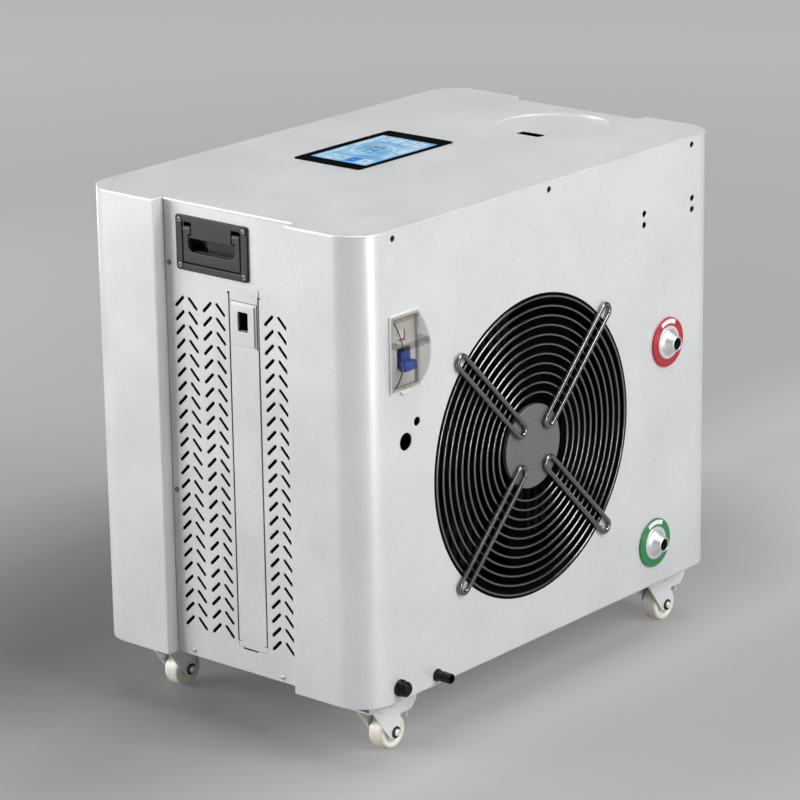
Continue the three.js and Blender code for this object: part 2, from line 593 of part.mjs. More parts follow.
// The motor hangs from the guard's arms and the rotor turns on its shaft
function buildFan() {
  const centre = [fanX, front, fanZ];
  const hubBack = fan.hubFront + fan.hubDepth;
  const motorProfile = [
    [0, 0], [fan.motorRadius - overrun, 0], [fan.motorRadius, overrun], [fan.motorRadius, fan.motorPlate],
    [fan.statorRadius, fan.motorPlate], [fan.statorRadius, fan.statorDepth],
    [fan.shaftRadius, fan.statorDepth], [fan.shaftRadius, hubBack + fan.hubWall], [0, hubBack + fan.hubWall],
  ];
  addMesh(chiller, 'fan_motor', turn(motorProfile, 'y', centre, roundSides), finishes.darkMotor);
  const hub = cut(cylinder('y', centre, fan.hubRadius, fan.hubFront, hubBack, roundSides), [
    cylinder('y', centre, fan.statorRadius + running, 0, hubBack - fan.hubWall, roundSides),
    cylinder('y', centre, fan.shaftRadius + seat, 0, hubBack + overrun, roundSides),
  ]);
  const chord = fan.bladeChord / 2;
  const [root, tip] = [fan.hubRadius - fan.hubWall / 2, throatRadius - fan.tipGap - fan.hubWall];
  const outline = new THREE.Shape();
  outline.moveTo(root, -chord / 2);
  outline.lineTo(tip - chord / 2, -chord);
  outline.quadraticCurveTo(tip, -chord / 2, tip, chord / 4);
  outline.quadraticCurveTo(tip - chord / 4, chord * 3 / 4, tip - chord / 2, chord * 2 / 3);
  outline.lineTo(root, chord / 3);
  const middle = (fan.hubFront + hubBack) / 2;
  const blade = extrude(outline, 'y', -fan.bladeThickness / 2, fan.bladeThickness / 2, 3)
    .rotate([THREE.MathUtils.radToDeg(fan.bladePitch), 0, 0]).translate([0, middle, 0]);
  const blades = Array.from({ length: fan.bladeCount }, (_, i) =>
    blade.rotate([0, i * 360 / fan.bladeCount, 0]).translate(centre));
  const bore = cylinder('y', centre, fan.statorRadius + running, 0, hubBack - fan.hubWall, roundSides);
  addMesh(chiller, 'fan_rotor', joined([hub, ...blades]).subtract(bore), finishes.blackPlastic);
}

const condenser = { besideThroat: 22, height: 420, depth: 44, fins: 26, groove: 6, grooveDepth: 5, behindShroud: 0.3 };
const condenserWidth = (throatRadius + condenser.besideThroat) * 2;

// Finned condenser between the duct and the inside of the cabinet
function buildCondenser() {
  const y0 = innerFront + fan.shroudDepth + condenser.behindShroud;
  const y1 = y0 + condenser.depth;
  const [x0, x1] = [fanX - condenserWidth / 2, fanX + condenserWidth / 2];
  const z1 = panFloor + condenser.height;
  const step = condenserWidth / condenser.fins;
  const comb = new THREE.Shape();
  comb.moveTo(x0, y0);
  for (let i = 0; i < condenser.fins; i++) {
    const a = x0 + i * step + (step - condenser.groove) / 2;
    comb.lineTo(a, y0);
    comb.lineTo(a, y0 + condenser.grooveDepth);
    comb.lineTo(a + condenser.groove, y0 + condenser.grooveDepth);
    comb.lineTo(a + condenser.groove, y0);
  }
  comb.lineTo(x1, y0);
  comb.lineTo(x1, y1);
  comb.lineTo(x0, y1);
  addMesh(chiller, 'condenser', extrude(comb, 'z', panFloor, z1), finishes.aluminium);
}

// Breaker behind its clear lid

// Section of the lid in (y, z): a bow of a given height over a chord, both drawn in by a wall
function bowShape(halfChord, bulge, back) {
  const radius = (halfChord * halfChord + bulge * bulge) / (2 * bulge);
  const spread = Math.asin(halfChord / radius);
  const shape = new THREE.Shape();
  shape.absarc(back - bulge + radius, 0, radius, Math.PI - spread, Math.PI + spread);
  return shape;
}

function buildBreaker() {
  const group = new THREE.Group();
  group.position.set(breakerX, front, breakerZ);
  const b = breaker;
  const [halfOpen, halfOpenHigh] = [b.opening / 2, b.openingHeight / 2];
  const flange = extrude(roundedRectangle(-b.width / 2, b.width / 2, -b.height / 2, b.height / 2, b.skirtWall),
    'y', -b.flange - seat, -seat, 2);
  const skirt = block([-halfOpen - b.skirtWall, halfOpen + b.skirtWall], [-seat - b.flange / 2, b.skirtDepth],
    [-halfOpenHigh - b.skirtWall, halfOpenHigh + b.skirtWall]);
  const space = block([-halfOpen, halfOpen], [-b.flange - overrun, b.skirtDepth + overrun], [-halfOpenHigh, halfOpenHigh]);
  addMesh(group, 'breaker_frame', flange.add(skirt).subtract(space), finishes.ivory);

  const halfWidth = b.width / 2 - b.lidInset;
  const halfHeight = b.height / 2 - b.lidInset;
  const back = -b.flange - seat * 2;
  const outer = extrude(bowShape(halfHeight, b.lidBulge, back), 'x', -halfWidth, halfWidth, smallSides);
  const hollow = extrude(bowShape(halfHeight - b.lidWall * 2, b.lidBulge - b.lidWall, back + overrun / 2),
    'x', -halfWidth + b.lidWall, halfWidth - b.lidWall, smallSides);
  addMesh(group, 'breaker_lid', outer.subtract(hollow), finishes.clearLid);

  // The lever and the test button sit in the nose of the switch module
  const [moduleHalf, moduleHigh] = [halfOpen - seat, halfOpenHigh - seat];
  const noseFront = b.moduleSink - b.noseDepth;
  const leverZ = -b.leverDrop;
  const body = joined([
    block([-moduleHalf, moduleHalf], [b.moduleSink, b.moduleSink + b.moduleDepth], [-moduleHigh, moduleHigh]),
    block([-moduleHalf, moduleHalf], [noseFront, b.moduleSink + overrun], [-b.noseHeight / 2, b.noseHeight / 2]),
  ]);
  const leverHalf = b.leverWidth / 2;
  const well = block([-leverHalf - seat, leverHalf + seat], [noseFront - overrun, noseFront + b.leverRadius * 2 + running],
    [leverZ - b.leverRadius - running, leverZ + b.leverRadius + running]);
  const buttonX = -b.buttonAside;
  const buttonZ = leverZ + b.buttonRise + b.leverRadius;
  const buttonWell = cylinder('y', [buttonX, noseFront, buttonZ], b.buttonRadius + seat,
    -overrun, b.buttonLength, smallSides);
  addMesh(group, 'breaker_module', cut(body, [well, buttonWell]), finishes.ivory);

  const barrelY = noseFront + b.leverRadius;
  const barrel = cylinder('x', [0, barrelY, leverZ], b.leverRadius, -leverHalf, leverHalf, smallSides);
  const paddle = block([-b.leverPaddleWidth / 2, b.leverPaddleWidth / 2], [-b.leverReach, 0],
    [-b.leverThickness / 2, b.leverThickness / 2]).rotate([b.leverTilt, 0, 0]).translate([0, barrelY, leverZ]);
  addMesh(group, 'breaker_lever', barrel.add(paddle), finishes.leverBlue);
  const button = cylinder('y', [buttonX, noseFront, buttonZ], b.buttonRadius,
    -b.buttonProud, b.buttonLength - b.buttonProud - running, smallSides);
  addMesh(group, 'test_button', button, finishes.ivory);
  chiller.add(group);
}

// Water ports: a coloured ring, and a flanged nozzle that passes through it
function buildPort(name, [x, z], ringFinish) {
  const group = new THREE.Group();
  group.position.set(x, front, z);
  const ringFront = -seat - port.ringThickness;
  addMesh(group, `${name}_ring`, tube('y', [0, 0, 0], port.ringRadius, port.baseRadius + seat,
    ringFront, -seat), ringFinish);
  const flangeBack = ringFront - seat;
  const flangeFront = flangeBack - port.flangeThickness;
  const profile = [
    [port.boreRadius, -port.reach], [port.tipRadius, -port.reach],
    [port.baseRadius, flangeFront - port.flangeThickness / 2],
    [port.flangeRadius - port.flangeThickness, flangeFront], [port.flangeRadius, flangeBack - overrun / 2],
    [port.flangeRadius, flangeBack], [port.baseRadius, flangeBack], [port.baseRadius, port.tail],
    [port.boreRadius, port.tail], [port.boreRadius, -port.reach],
  ];
  addMesh(group, `${name}_port`, turn(profile, 'y', [0, 0, 0], roundSides), finishes.nozzle);
  chiller.add(group);
}

function buildDrain() {
  const plug = new THREE.Group();
  plug.position.set(plugPlace[0], front, plugPlace[1]);
  const plugProfile = [
    [0, -drain.stubReach], [drain.stubRadius, -drain.stubReach], [drain.stubRadius, -drain.collarReach],
    [drain.collarRadius, -drain.collarReach], [drain.collarRadius, -seat], [drain.tailRadius, -seat],
    [drain.tailRadius, drain.tail], [0, drain.tail],
  ];
  addMesh(plug, 'drain_plug', turn(plugProfile, 'y', [0, 0, 0], smallSides), finishes.blackPlastic);
  const capBack = -drain.collarReach - seat;
  const capProfile = [
    [0, -drain.capReach], [drain.capRadius - overrun, -drain.capReach], [drain.capRadius, -drain.capReach + overrun],
    [drain.capRadius, capBack], [drain.stubRadius + seat, capBack],
    [drain.stubRadius + seat, -drain.stubReach - seat], [0, -drain.stubReach - seat],
  ];
  addMesh(plug, 'drain_cap', turn(capProfile, 'y', [0, 0, 0], smallSides), finishes.blackPlastic);
  chiller.add(plug);
  const [x, z] = spoutPlace;
  const spoutTail = sheet + seat + panLip.thickness + sheet;
  const spoutProfile = [
    [drain.spoutBore, -drain.spoutReach], [drain.spoutRadius, -drain.spoutReach],
    [drain.spoutRadius, -seat - drain.spoutFlangeThickness], [drain.spoutFlange, -seat - drain.spoutFlangeThickness],
    [drain.spoutFlange, -seat], [drain.spoutRadius, -seat], [drain.spoutRadius, spoutTail],
    [drain.spoutBore, spoutTail], [drain.spoutBore, -drain.spoutReach],
  ];
  addMesh(chiller, 'drain_spout', turn(spoutProfile, 'y', [x, front, z], smallSides), finishes.blackPlastic);
}

// Swivel casters: a plate with its kingpin, a pressed fork, a nylon wheel and an axle bolt

function wheelSolid() {
  const c = caster;
  const flat = Math.cos(Math.PI / roundSides);
  const [half, hubHalf] = [c.wheelWidth / 2, c.forkWidth / 2 - c.steel - seat];
  const [rim, shoulder] = [c.wheelRadius / flat, (c.wheelRadius - c.treadRound / 2) / flat];
  const bore = c.axleRadius + seat;
  const profile = [
    [bore, -hubHalf], [c.hubRadius, -hubHalf], [c.hubRadius, -half], [shoulder, -half],
    [rim, -half + c.treadRound], [rim, half - c.treadRound], [shoulder, half],
    [c.hubRadius, half], [c.hubRadius, hubHalf], [bore, hubHalf], [bore, -hubHalf],
  ];
  return turn(profile, 'y', [c.trail, 0, c.wheelRadius], roundSides, Math.PI / roundSides);
}

function forkSolid(forkTop) {
  const c = caster;
  const half = c.forkWidth / 2;
  const side = new THREE.Shape();
  side.moveTo(-c.forkNose, forkTop);
  side.lineTo(c.trail - c.legFront, c.wheelRadius - c.tipRadius * 2 / 3);
  side.absarc(c.trail, c.wheelRadius, c.tipRadius, Math.PI * 5 / 4, Math.PI * 2);
  side.lineTo(c.trail + c.legRear, c.legHeight);
  side.lineTo(c.tailCorner, c.legHeight);
  side.lineTo(c.forkTail, forkTop - c.tailDrop);
  side.lineTo(c.forkTail, forkTop);
  const cheeks = [-half, half - c.steel].map((y) => extrude(side, 'y', y, y + c.steel, pipeSides / 2));
  const web = block([-c.forkNose, c.forkTail], [-half, half], [forkTop - c.steel, forkTop]);
  const tail = extrude(polygon([
    [c.tailCorner, c.legHeight], [c.forkTail, forkTop - c.tailDrop], [c.forkTail, forkTop],
    [c.forkTail - c.steel, forkTop], [c.forkTail - c.steel, forkTop - c.tailDrop + c.steel / 2],
    [c.tailCorner - c.steel, c.legHeight],
  ]), 'y', -half, half);
  const lip = block([c.tailCorner - c.steel, c.tailCorner], [-c.lipWidth / 2, c.lipWidth / 2],
    [c.legHeight - c.lipDrop, c.legHeight + c.steel / 2]);
  const dish = cylinder('z', [0, 0, 0], c.dishRadius, forkTop - c.steel * 2, forkTop - c.steel / 2, smallSides);
  return cut(joined([...cheeks, web, tail, lip, dish]), [
    cylinder('z', [0, 0, 0], c.pinRadius + seat, forkTop - c.steel * 3, forkTop + overrun),
    cylinder('y', [c.trail, 0, c.wheelRadius], c.axleRadius + seat, -half - overrun, half + overrun, smallSides),
  ]);
}

function buildCaster(place, x, y) {
  const c = caster;
  const group = new THREE.Group();
  group.position.set(x, y, 0);
  const plateLow = casterTop - c.plateThickness;
  const forkTop = plateLow - seat;
  const [halfLength, halfWidth] = [c.plateLength / 2, c.plateWidth / 2];
  const plate = extrude(roundedRectangle(-halfLength, halfLength, -halfWidth, halfWidth, c.plateCorner),
    'z', plateLow, casterTop, 2);
  const pin = cylinder('z', [0, 0, 0], c.pinRadius, forkTop - c.steel * 2 - c.pinHeadThickness, plateLow + seat);
  const head = cylinder('z', [0, 0, 0], c.pinHead, forkTop - c.steel * 2 - seat - c.pinHeadThickness,
    forkTop - c.steel * 2 - seat);
  addMesh(group, `caster_plate_${place}`, joined([plate, pin, head]), finishes.zinc);
  addMesh(group, `caster_fork_${place}`, forkSolid(forkTop), finishes.zinc);
  addMesh(group, `caster_wheel_${place}`, wheelSolid(), finishes.nylon);
  const reach = c.forkWidth / 2 + seat;
  const axle = turn([
    [0, -reach - c.axleHeadThickness], [c.axleHead - overrun, -reach - c.axleHeadThickness],
    [c.axleHead, -reach - overrun], [c.axleHead, -reach], [c.axleRadius, -reach], [c.axleRadius, reach],
    [c.axleHead, reach], [c.axleHead, reach + c.axleHeadThickness], [0, reach + c.axleHeadThickness],
  ], 'y', [c.trail, 0, c.wheelRadius], smallSides);
  addMesh(group, `caster_axle_${place}`, axle, finishes.zinc);
  chiller.add(group);
}

// Cooling circuit and water circuit inside the cabinet

const compressor = {
  fromRear: 112, radius: 68, height: 235, dome: 26, footLength: 150, footThickness: 6,
  stubRadius: 5, stubLength: 24, tankRadius: 22, tankHeight: 120, tankAside: 84, tankRise: 50,
};
const exchanger = {
  fromTank: 2, fromRear: 108, radius: 74, height: 360, dome: 20, stubRadius: 11, stubLength: 26,
  hoseRise: 60, gasStubRadius: 5,
};
const pump = {
  motorRadius: 44, motorLength: 110, voluteRadius: 54, voluteLength: 44,
  shaftHeight: 66, footWidth: 70, stubRadius: 11, stubLength: 22,
};
const filter = {
  radius: 58, height: 262, capRadius: 64, capHeight: 26, capBelowTop: 12, headHeight: 30,
  bracketWall: 3, bracketWidth: 90, stubRadius: 11, stubLength: 24, ribCount: 12, ribDepth: 3,
};
const hose = { radius: 11, pipeRadius: 5, copperSteps: 16, hoseSteps: 16, straight: 26 };

// Compressor, heat exchanger and pump stand in a row along the rear wall; the room that they leave
// is shared out before the compressor, before the pump and after it
const tankReach = compressor.tankAside + compressor.tankRadius + exchanger.fromTank;
const pumpReach = pump.stubLength + pump.voluteLength;
const rowLength = compressor.footLength / 2 + tankReach + exchanger.radius * 2 + exchanger.stubLength
  + pumpReach + pump.motorLength;
const rowRoom = cabinetLength - (endRecess + sheet) * 2 - rowLength;
const roomShares = { beforeCompressor: 0.142, beforePump: 0.22 };
const compressorX = left + endRecess + sheet + rowRoom * roomShares.beforeCompressor + compressor.footLength / 2;
const exchangerX = compressorX + tankReach + exchanger.radius;
const pumpX = exchangerX + exchanger.radius + exchanger.stubLength + rowRoom * roomShares.beforePump + pumpReach;
const compressorPlace = [compressorX, rear - compressor.fromRear];
const exchangerPlace = [exchangerX, rear - exchanger.fromRear];
const pumpPlace = [pumpX, rear - exchanger.fromRear];
const filterCapTop = underTop - filter.capBelowTop;
const filterHeadTop = filterCapTop - filter.capHeight - seat;
const filterLow = filterHeadTop - filter.height;

function buildCompressor() {
  const c = compressor;
  const [x, y] = compressorPlace;
  const shell = turn([
    [0, c.footThickness / 2], [c.radius, c.footThickness / 2], [c.radius, c.height - c.dome],
    [c.radius * 2 / 3, c.height - c.dome / 4], [0, c.height],
  ], 'z', [x, y, panFloor], roundSides);
  const foot = block([x - c.footLength / 2, x + c.footLength / 2], [y - c.footLength / 2, y + c.footLength / 2],
    [panFloor, panFloor + c.footThickness]);
  const tankX = x + c.tankAside;
  const tank = cylinder('z', [tankX, y, panFloor], c.tankRadius, c.tankRise, c.tankRise + c.tankHeight, smallSides);
  const strap = block([x, tankX], [y - c.tankRadius / 2, y + c.tankRadius / 2],
    [panFloor + c.tankRise + c.tankRadius, panFloor + c.tankRise + c.tankRadius * 2]);
  const suction = cylinder('z', [tankX, y, panFloor + c.tankRise + c.tankHeight], c.stubRadius,
    -overrun, c.stubLength, pipeSides);
  const discharge = cylinder('z', [x, y - c.radius / 2, panFloor + c.height - c.dome], c.stubRadius,
    -overrun, c.dome + c.stubLength, pipeSides);
  addMesh(chiller, 'compressor', joined([shell, foot, tank, strap, suction, discharge]), finishes.compressorBlack);
}

function buildHeatExchanger() {
  const e = exchanger;
  const [x, y] = exchangerPlace;
  const shell = turn([
    [0, 0], [e.radius, 0], [e.radius, e.height - e.dome], [e.radius * 2 / 3, e.height - e.dome / 4], [0, e.height],
  ], 'z', [x, y, panFloor], roundSides);
  const lowStub = cylinder('x', [x, y, panFloor + pump.shaftHeight], e.stubRadius,
    e.radius / 2, e.radius + e.stubLength);
  const highStub = cylinder('x', [x, y, panFloor + e.height - e.hoseRise], e.stubRadius,
    e.radius / 2, e.radius + e.stubLength);
  const gasTop = panFloor + e.height + e.stubLength;
  const gasStubs = [-1, 1].map((hand) => cylinder('z', [x + hand * e.radius / 3, y, 0], e.gasStubRadius,
    panFloor + e.height - e.dome, gasTop, pipeSides));
  addMesh(chiller, 'heat_exchanger', joined([shell, lowStub, highStub, ...gasStubs]), finishes.blackPlastic);
}

function buildWaterPump() {
  const p = pump;
  const [x, y] = pumpPlace;
  const centre = [x, y, panFloor + p.shaftHeight];
  const motor = cylinder('x', centre, p.motorRadius, 0, p.motorLength, roundSides);
  const volute = cylinder('x', centre, p.voluteRadius, -p.voluteLength, overrun, roundSides);
  const foot = block([x, x + p.motorLength], [y - p.footWidth / 2, y + p.footWidth / 2],
    [panFloor, panFloor + p.shaftHeight - p.motorRadius / 2]);
  const outlet = cylinder('x', centre, p.stubRadius, -p.voluteLength - p.stubLength, 0);
  const inletStub = cylinder('z', [x - p.voluteLength / 2, y, centre[2]], p.stubRadius, 0, p.voluteRadius + p.stubLength);
  addMesh(chiller, 'water_pump', joined([motor, volute, foot, outlet, inletStub]), finishes.compressorBlack);
}

// Filter housing under the round lid, moulded with the stand that holds it up from the base pan
function buildFilter() {
  const f = filter;
  const centre = [lidX, lidY, 0];
  const bowl = turn([
    [0, filterLow], [f.radius * 3 / 4, filterLow], [f.radius, filterLow + f.radius / 2],
    [f.radius, filterHeadTop - f.headHeight], [f.radius + f.ribDepth, filterHeadTop - f.headHeight],
    [f.radius + f.ribDepth, filterHeadTop], [0, filterHeadTop],
  ], 'z', centre, roundSides);
  const stubZ = filterHeadTop - f.headHeight / 2;
  const stubs = [stubZ, filterLow + f.radius].map((z) => cylinder('y', [lidX, lidY, z], f.stubRadius,
    0, f.radius + f.stubLength));
  const gear = polygon(ring(f.ribCount * 2, f.capRadius).map(([u, v], i) => {
    const share = i % 2 ? 1 : 1 - f.ribDepth / f.capRadius;
    return [lidX + u * share, lidY + v * share];
  }));
  addMesh(chiller, 'filter_cap', extrude(gear, 'z', filterHeadTop + seat, filterCapTop), finishes.blackPlastic);
  const half = f.bracketWidth / 2;
  const shelf = block([lidX - half, lidX + half], [lidY - half, lidY + half],
    [filterLow - f.bracketWall, filterLow + overrun]);
  const post = block([lidX + half - f.bracketWall, lidX + half], [lidY - half, lidY + half],
    [panFloor, filterLow]);
  const foot = block([lidX - half / 2, lidX + half], [lidY - half, lidY + half], [panFloor, panFloor + f.bracketWall]);
  addMesh(chiller, 'filter_housing', joined([bowl, ...stubs, shelf, post, foot]), finishes.filterBlue);
}

const controlBox = { width: 230, height: 90, depth: 90, belowTop: 60, cornerRadius: 6 };

// Control box on the inside of the rear wall
function buildControlBox() {
  const x = exchangerPlace[0];
  const z1 = top - controlBox.belowTop;
  const section = roundedRectangle(x - controlBox.width / 2, x + controlBox.width / 2, z1 - controlBox.height, z1,
    controlBox.cornerRadius);
  addMesh(chiller, 'control_box', extrude(section, 'y', innerRear - controlBox.depth, innerRear, 2), finishes.ivory);
}

function buildPipes() {
  const [cx, cy] = compressorPlace;
  const [ex, ey] = exchangerPlace;
  const [px, py] = pumpPlace;
  const run = hose.straight;
  const pumpZ = panFloor + pump.shaftHeight;
  const add = (name, points, radius, steps, finish) => addMesh(chiller, name, pipe(points, radius, steps), finish);

  // Discharge pipe from the compressor to the top of the condenser
  const condenserBack = innerFront + fan.shroudDepth + condenser.behindShroud + condenser.depth;
  const dischargeZ = panFloor + compressor.height + compressor.stubLength + seat;
  const dischargeY = cy - compressor.radius / 2;
  const highZ = panFloor + condenser.height - run;
  const inletX = fanX - condenserWidth / 2 + run;
  add('discharge_pipe', [
    [cx, dischargeY, dischargeZ], [cx, dischargeY, dischargeZ + run], [cx, dischargeY, highZ - run],
    [(cx + inletX) / 2, (dischargeY + condenserBack) / 2, highZ],
    [inletX, condenserBack + run, highZ], [inletX, condenserBack + seat, highZ],
  ], hose.pipeRadius, hose.copperSteps, finishes.copper);

  // Suction pipe from the heat exchanger back to the compressor's tank
  const gasZ = panFloor + exchanger.height + exchanger.stubLength + seat;
  const tankX = cx + compressor.tankAside;
  const tankZ = panFloor + compressor.tankRise + compressor.tankHeight + compressor.stubLength + seat;
  const gasX = ex - exchanger.radius / 3;
  add('suction_pipe', [
    [gasX, ey, gasZ], [gasX, ey, gasZ + run / 2], [(gasX + tankX) / 2, ey, gasZ + run],
    [tankX, cy, gasZ + run / 2], [tankX, cy, gasZ - run], [tankX, cy, tankZ + run], [tankX, cy, tankZ],
  ], hose.pipeRadius, hose.copperSteps, finishes.copper);

  // Water comes in at the low port, rises to the filter's head, and leaves its foot for the pump
  const tailY = front + port.tail + seat;
  const headZ = filterHeadTop - filter.headHeight / 2;
  const stubY = lidY + filter.radius + filter.stubLength + seat;
  const [inX, inZ] = inletPlace;
  const sideX = right - endRecess - sheet - run;
  add('inlet_hose', [
    [inX, tailY, inZ], [inX, tailY + run, inZ], [(inX + sideX * 3) / 4, lidY - filter.bracketWidth / 2 - run, inZ + run],
    [sideX, lidY, inZ + run * 3], [sideX, lidY + filter.radius, (inZ + headZ) / 2],
    [sideX, stubY + run, headZ - run * 2], [lidX + run, stubY + run * 2, headZ - run / 2],
    [lidX, stubY + run, headZ], [lidX, stubY, headZ],
  ], hose.radius, hose.hoseSteps, finishes.waterHose);
  const footZ = filterLow + filter.radius;
  const voluteX = px - pump.voluteLength / 2;
  const voluteZ = pumpZ + pump.voluteRadius + pump.stubLength + seat;
  add('pump_hose', [
    [lidX, stubY, footZ], [lidX, stubY + run, footZ], [(lidX + voluteX) / 2, (stubY + run + py) / 2, footZ - run],
    [voluteX, py, voluteZ + run * 3], [voluteX, py, voluteZ + run], [voluteX, py, voluteZ],
  ], hose.radius, hose.hoseSteps, finishes.waterHose);

  // The pump feeds the foot of the heat exchanger, and its top feeds the high port
  const pumpOut = px - pump.voluteLength - pump.stubLength - seat;
  const exchangerIn = ex + exchanger.radius + exchanger.stubLength + seat;
  addMesh(chiller, 'feed_hose', cylinder('x', [0, py, pumpZ], hose.radius, exchangerIn, pumpOut), finishes.waterHose);
  const exchangerTopZ = panFloor + exchanger.height - exchanger.hoseRise;
  const [outX, outZ] = outletPlace;
  const cornerX = fanX + condenserWidth / 2;
  const cornerY = condenserBack;
  const turnX = exchangerIn + run * 2;
  add('outlet_hose', [
    [exchangerIn, ey, exchangerTopZ], [exchangerIn + run, ey, exchangerTopZ],
    [turnX, (ey * 2 + cornerY) / 3, (exchangerTopZ + outZ) / 2],
    [(turnX + cornerX) / 2, cornerY + run * 2, outZ], [cornerX + run / 2, cornerY + run / 2, outZ],
    [(cornerX + outX) / 2, (cornerY + tailY) / 2, outZ], [outX, tailY + run, outZ], [outX, tailY, outZ],
  ], hose.radius, hose.hoseSteps, finishes.waterHose);
}

buildBasePan();
buildFrontPanel();
buildRearPanel();
buildEndPanel('left_panel', -1);
buildEndPanel('right_panel', 1);
buildTopCover();
buildFilterLid();
buildServiceCover();
buildDisplay();
buildHandle(-1);
buildHandle(1);
buildFanGuard();
buildFanShroud();
buildFan();
buildCondenser();
buildBreaker();
buildPort('outlet', outletPlace, finishes.ringRed);
buildPort('inlet', inletPlace, finishes.ringGreen);
buildDrain();
buildCaster('front_left', -casterX, -casterY);
buildCaster('front_right', casterX, -casterY);
buildCaster('rear_left', -casterX, casterY);
buildCaster('rear_right', casterX, casterY);
buildCompressor();
buildHeatExchanger();
buildWaterPump();
buildFilter();
buildControlBox();
buildPipes();

// The origin is under the middle of everything, counting what stands out in front
const frontReach = Math.max(port.reach, drain.spoutReach, drain.capReach, breaker.lidBulge + breaker.flange);
chiller.position.y = frontReach / 2;

export default chiller;
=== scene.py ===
# Ice bath chiller, dressed for Blender 4.5: camera, studio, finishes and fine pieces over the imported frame.
import json
import math

import bmesh
import bpy
from mathutils import Matrix, Vector
from mathutils.geometry import delaunay_2d_cdt


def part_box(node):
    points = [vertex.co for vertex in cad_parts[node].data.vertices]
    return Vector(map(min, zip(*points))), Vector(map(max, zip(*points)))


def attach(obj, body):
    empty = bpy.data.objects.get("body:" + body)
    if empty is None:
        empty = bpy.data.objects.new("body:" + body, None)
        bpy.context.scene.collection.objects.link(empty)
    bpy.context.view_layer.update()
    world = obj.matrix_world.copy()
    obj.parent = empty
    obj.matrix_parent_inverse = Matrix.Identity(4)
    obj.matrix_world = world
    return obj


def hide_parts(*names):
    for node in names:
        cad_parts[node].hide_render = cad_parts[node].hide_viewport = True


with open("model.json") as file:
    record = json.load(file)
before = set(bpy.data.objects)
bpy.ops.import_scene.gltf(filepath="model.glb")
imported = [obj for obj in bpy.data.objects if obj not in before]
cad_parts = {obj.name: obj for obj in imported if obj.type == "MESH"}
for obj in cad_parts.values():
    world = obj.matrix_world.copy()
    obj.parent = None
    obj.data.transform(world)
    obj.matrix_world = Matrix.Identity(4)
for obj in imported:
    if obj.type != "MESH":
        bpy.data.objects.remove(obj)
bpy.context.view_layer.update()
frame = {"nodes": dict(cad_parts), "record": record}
mm = 0.001


def boxOf(node):  # a node's corners in millimetres
    low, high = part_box(node)
    return low / mm, high / mm


def newObject(name, data):
    obj = bpy.data.objects.new(name, data)
    bpy.context.scene.collection.objects.link(obj)
    return obj


def direction(turn, rise):  # towards a stand that is turned from -Y towards +X and raised, in degrees
    turn, rise = math.radians(turn), math.radians(rise)
    return Vector((math.sin(turn) * math.cos(rise), -math.cos(turn) * math.cos(rise), math.sin(rise)))


# Camera and studio

cameraSetup = {"place": (-3.4517, -2.8879, 1.7526), "lens": 161.64, "sensor": 36, "reach": 100,
               "turn": -49.7685, "rise": 17.1972, "roll": -0.8865}


def makeCamera():
    turn, roll = math.radians(cameraSetup["turn"]), math.radians(cameraSetup["roll"])
    back = direction(cameraSetup["turn"], cameraSetup["rise"])
    side = Vector((math.cos(turn), math.sin(turn), 0))
    up = back.cross(side)
    axes = (math.cos(roll) * side + math.sin(roll) * up, math.cos(roll) * up - math.sin(roll) * side, back)
    data = bpy.data.cameras.new("photoCamera")
    data.lens, data.sensor_width, data.clip_end = cameraSetup["lens"], cameraSetup["sensor"], cameraSetup["reach"]
    camera = newObject("photoCamera", data)
    camera.matrix_world = Matrix.Translation(cameraSetup["place"]) @ Matrix(axes).transposed().to_4x4()
    bpy.context.scene.camera = camera


# Each lamp: where it stands (turn from -Y towards +X, rise, distance), its size and its power
lamps = {
    "frontKey": {"turn": 6, "rise": 39, "distance": 7.5, "size": (2.8, 2.8), "power": 366.0},
    "rightBox": {"turn": 54, "rise": 10, "distance": 2.8, "size": (1.1, 1.8), "power": 2.0},
    "leftBox": {"turn": -138, "rise": 9, "distance": 7.5, "size": (5.6, 5.0), "power": 805.0},
    "leftFill": {"turn": -95, "rise": 18, "distance": 3.6, "size": (1.6, 1.6), "power": 2.0},
    "backBox": {"turn": 135, "rise": 26, "distance": 3.2, "size": (2.2, 1.4), "power": 0.6},
    "overhead": {"turn": 20, "rise": 82, "distance": 2.8, "size": (2.2, 2.2), "power": 59.0},
    "frontStrip": {"turn": -13, "rise": 2, "distance": 2.6, "size": (0.16, 1.8), "power": 34.0},
    "rearStrip": {"turn": 165, "rise": 4, "distance": 2.6, "size": (0.3, 1.8), "power": 14.0},
}
studio = {
    "world": 0.05, "floorColour": 0.176, "floorRoughness": 0.8, "floorShine": 0.2, "floorSize": 40, "aim": (0, 0, 0.33),
    # painted light on the floor, by its distance from the middle and by its depth in the picture: brightest in a pool
    # before the front face, weakest close behind the cabinet, where it leaves painted shade
    "farPaintedLight": ((0.55, 0.0), (0.66, 0.03), (0.8, 0.11), (0.92, 0.175), (1.3, 0.215), (2.0, 0.26), (4.0, 0.39)),
    "nearPaintedLight": ((-0.65, 0.187), (-0.5, 0.195), (-0.36, 0.22), (-0.26, 0.28), (-0.14, 0.2), (0.0, 0.11), (0.1, 0.08),
                 (0.2, 0.09), (0.4, 0.0)),
}


def makeLamps():
    for name, lamp in lamps.items():
        data = bpy.data.lights.new(name, "AREA")
        data.shape = "RECTANGLE"
        data.size, data.size_y = lamp["size"]
        data.energy = lamp["power"]
        away = direction(lamp["turn"], lamp["rise"])
        light = newObject(name, data)
        place = Vector(studio["aim"]) + away * lamp["distance"]
        light.matrix_world = Matrix.Translation(place) @ away.to_track_quat("Z", "Y").to_matrix().to_4x4()
        light.visible_camera = False
    world = bpy.data.worlds.new("studioWorld")
    world.use_nodes = True
    world.node_tree.nodes["Background"].inputs["Color"].default_value = (studio["world"],) * 3 + (1,)
    bpy.context.scene.world = world


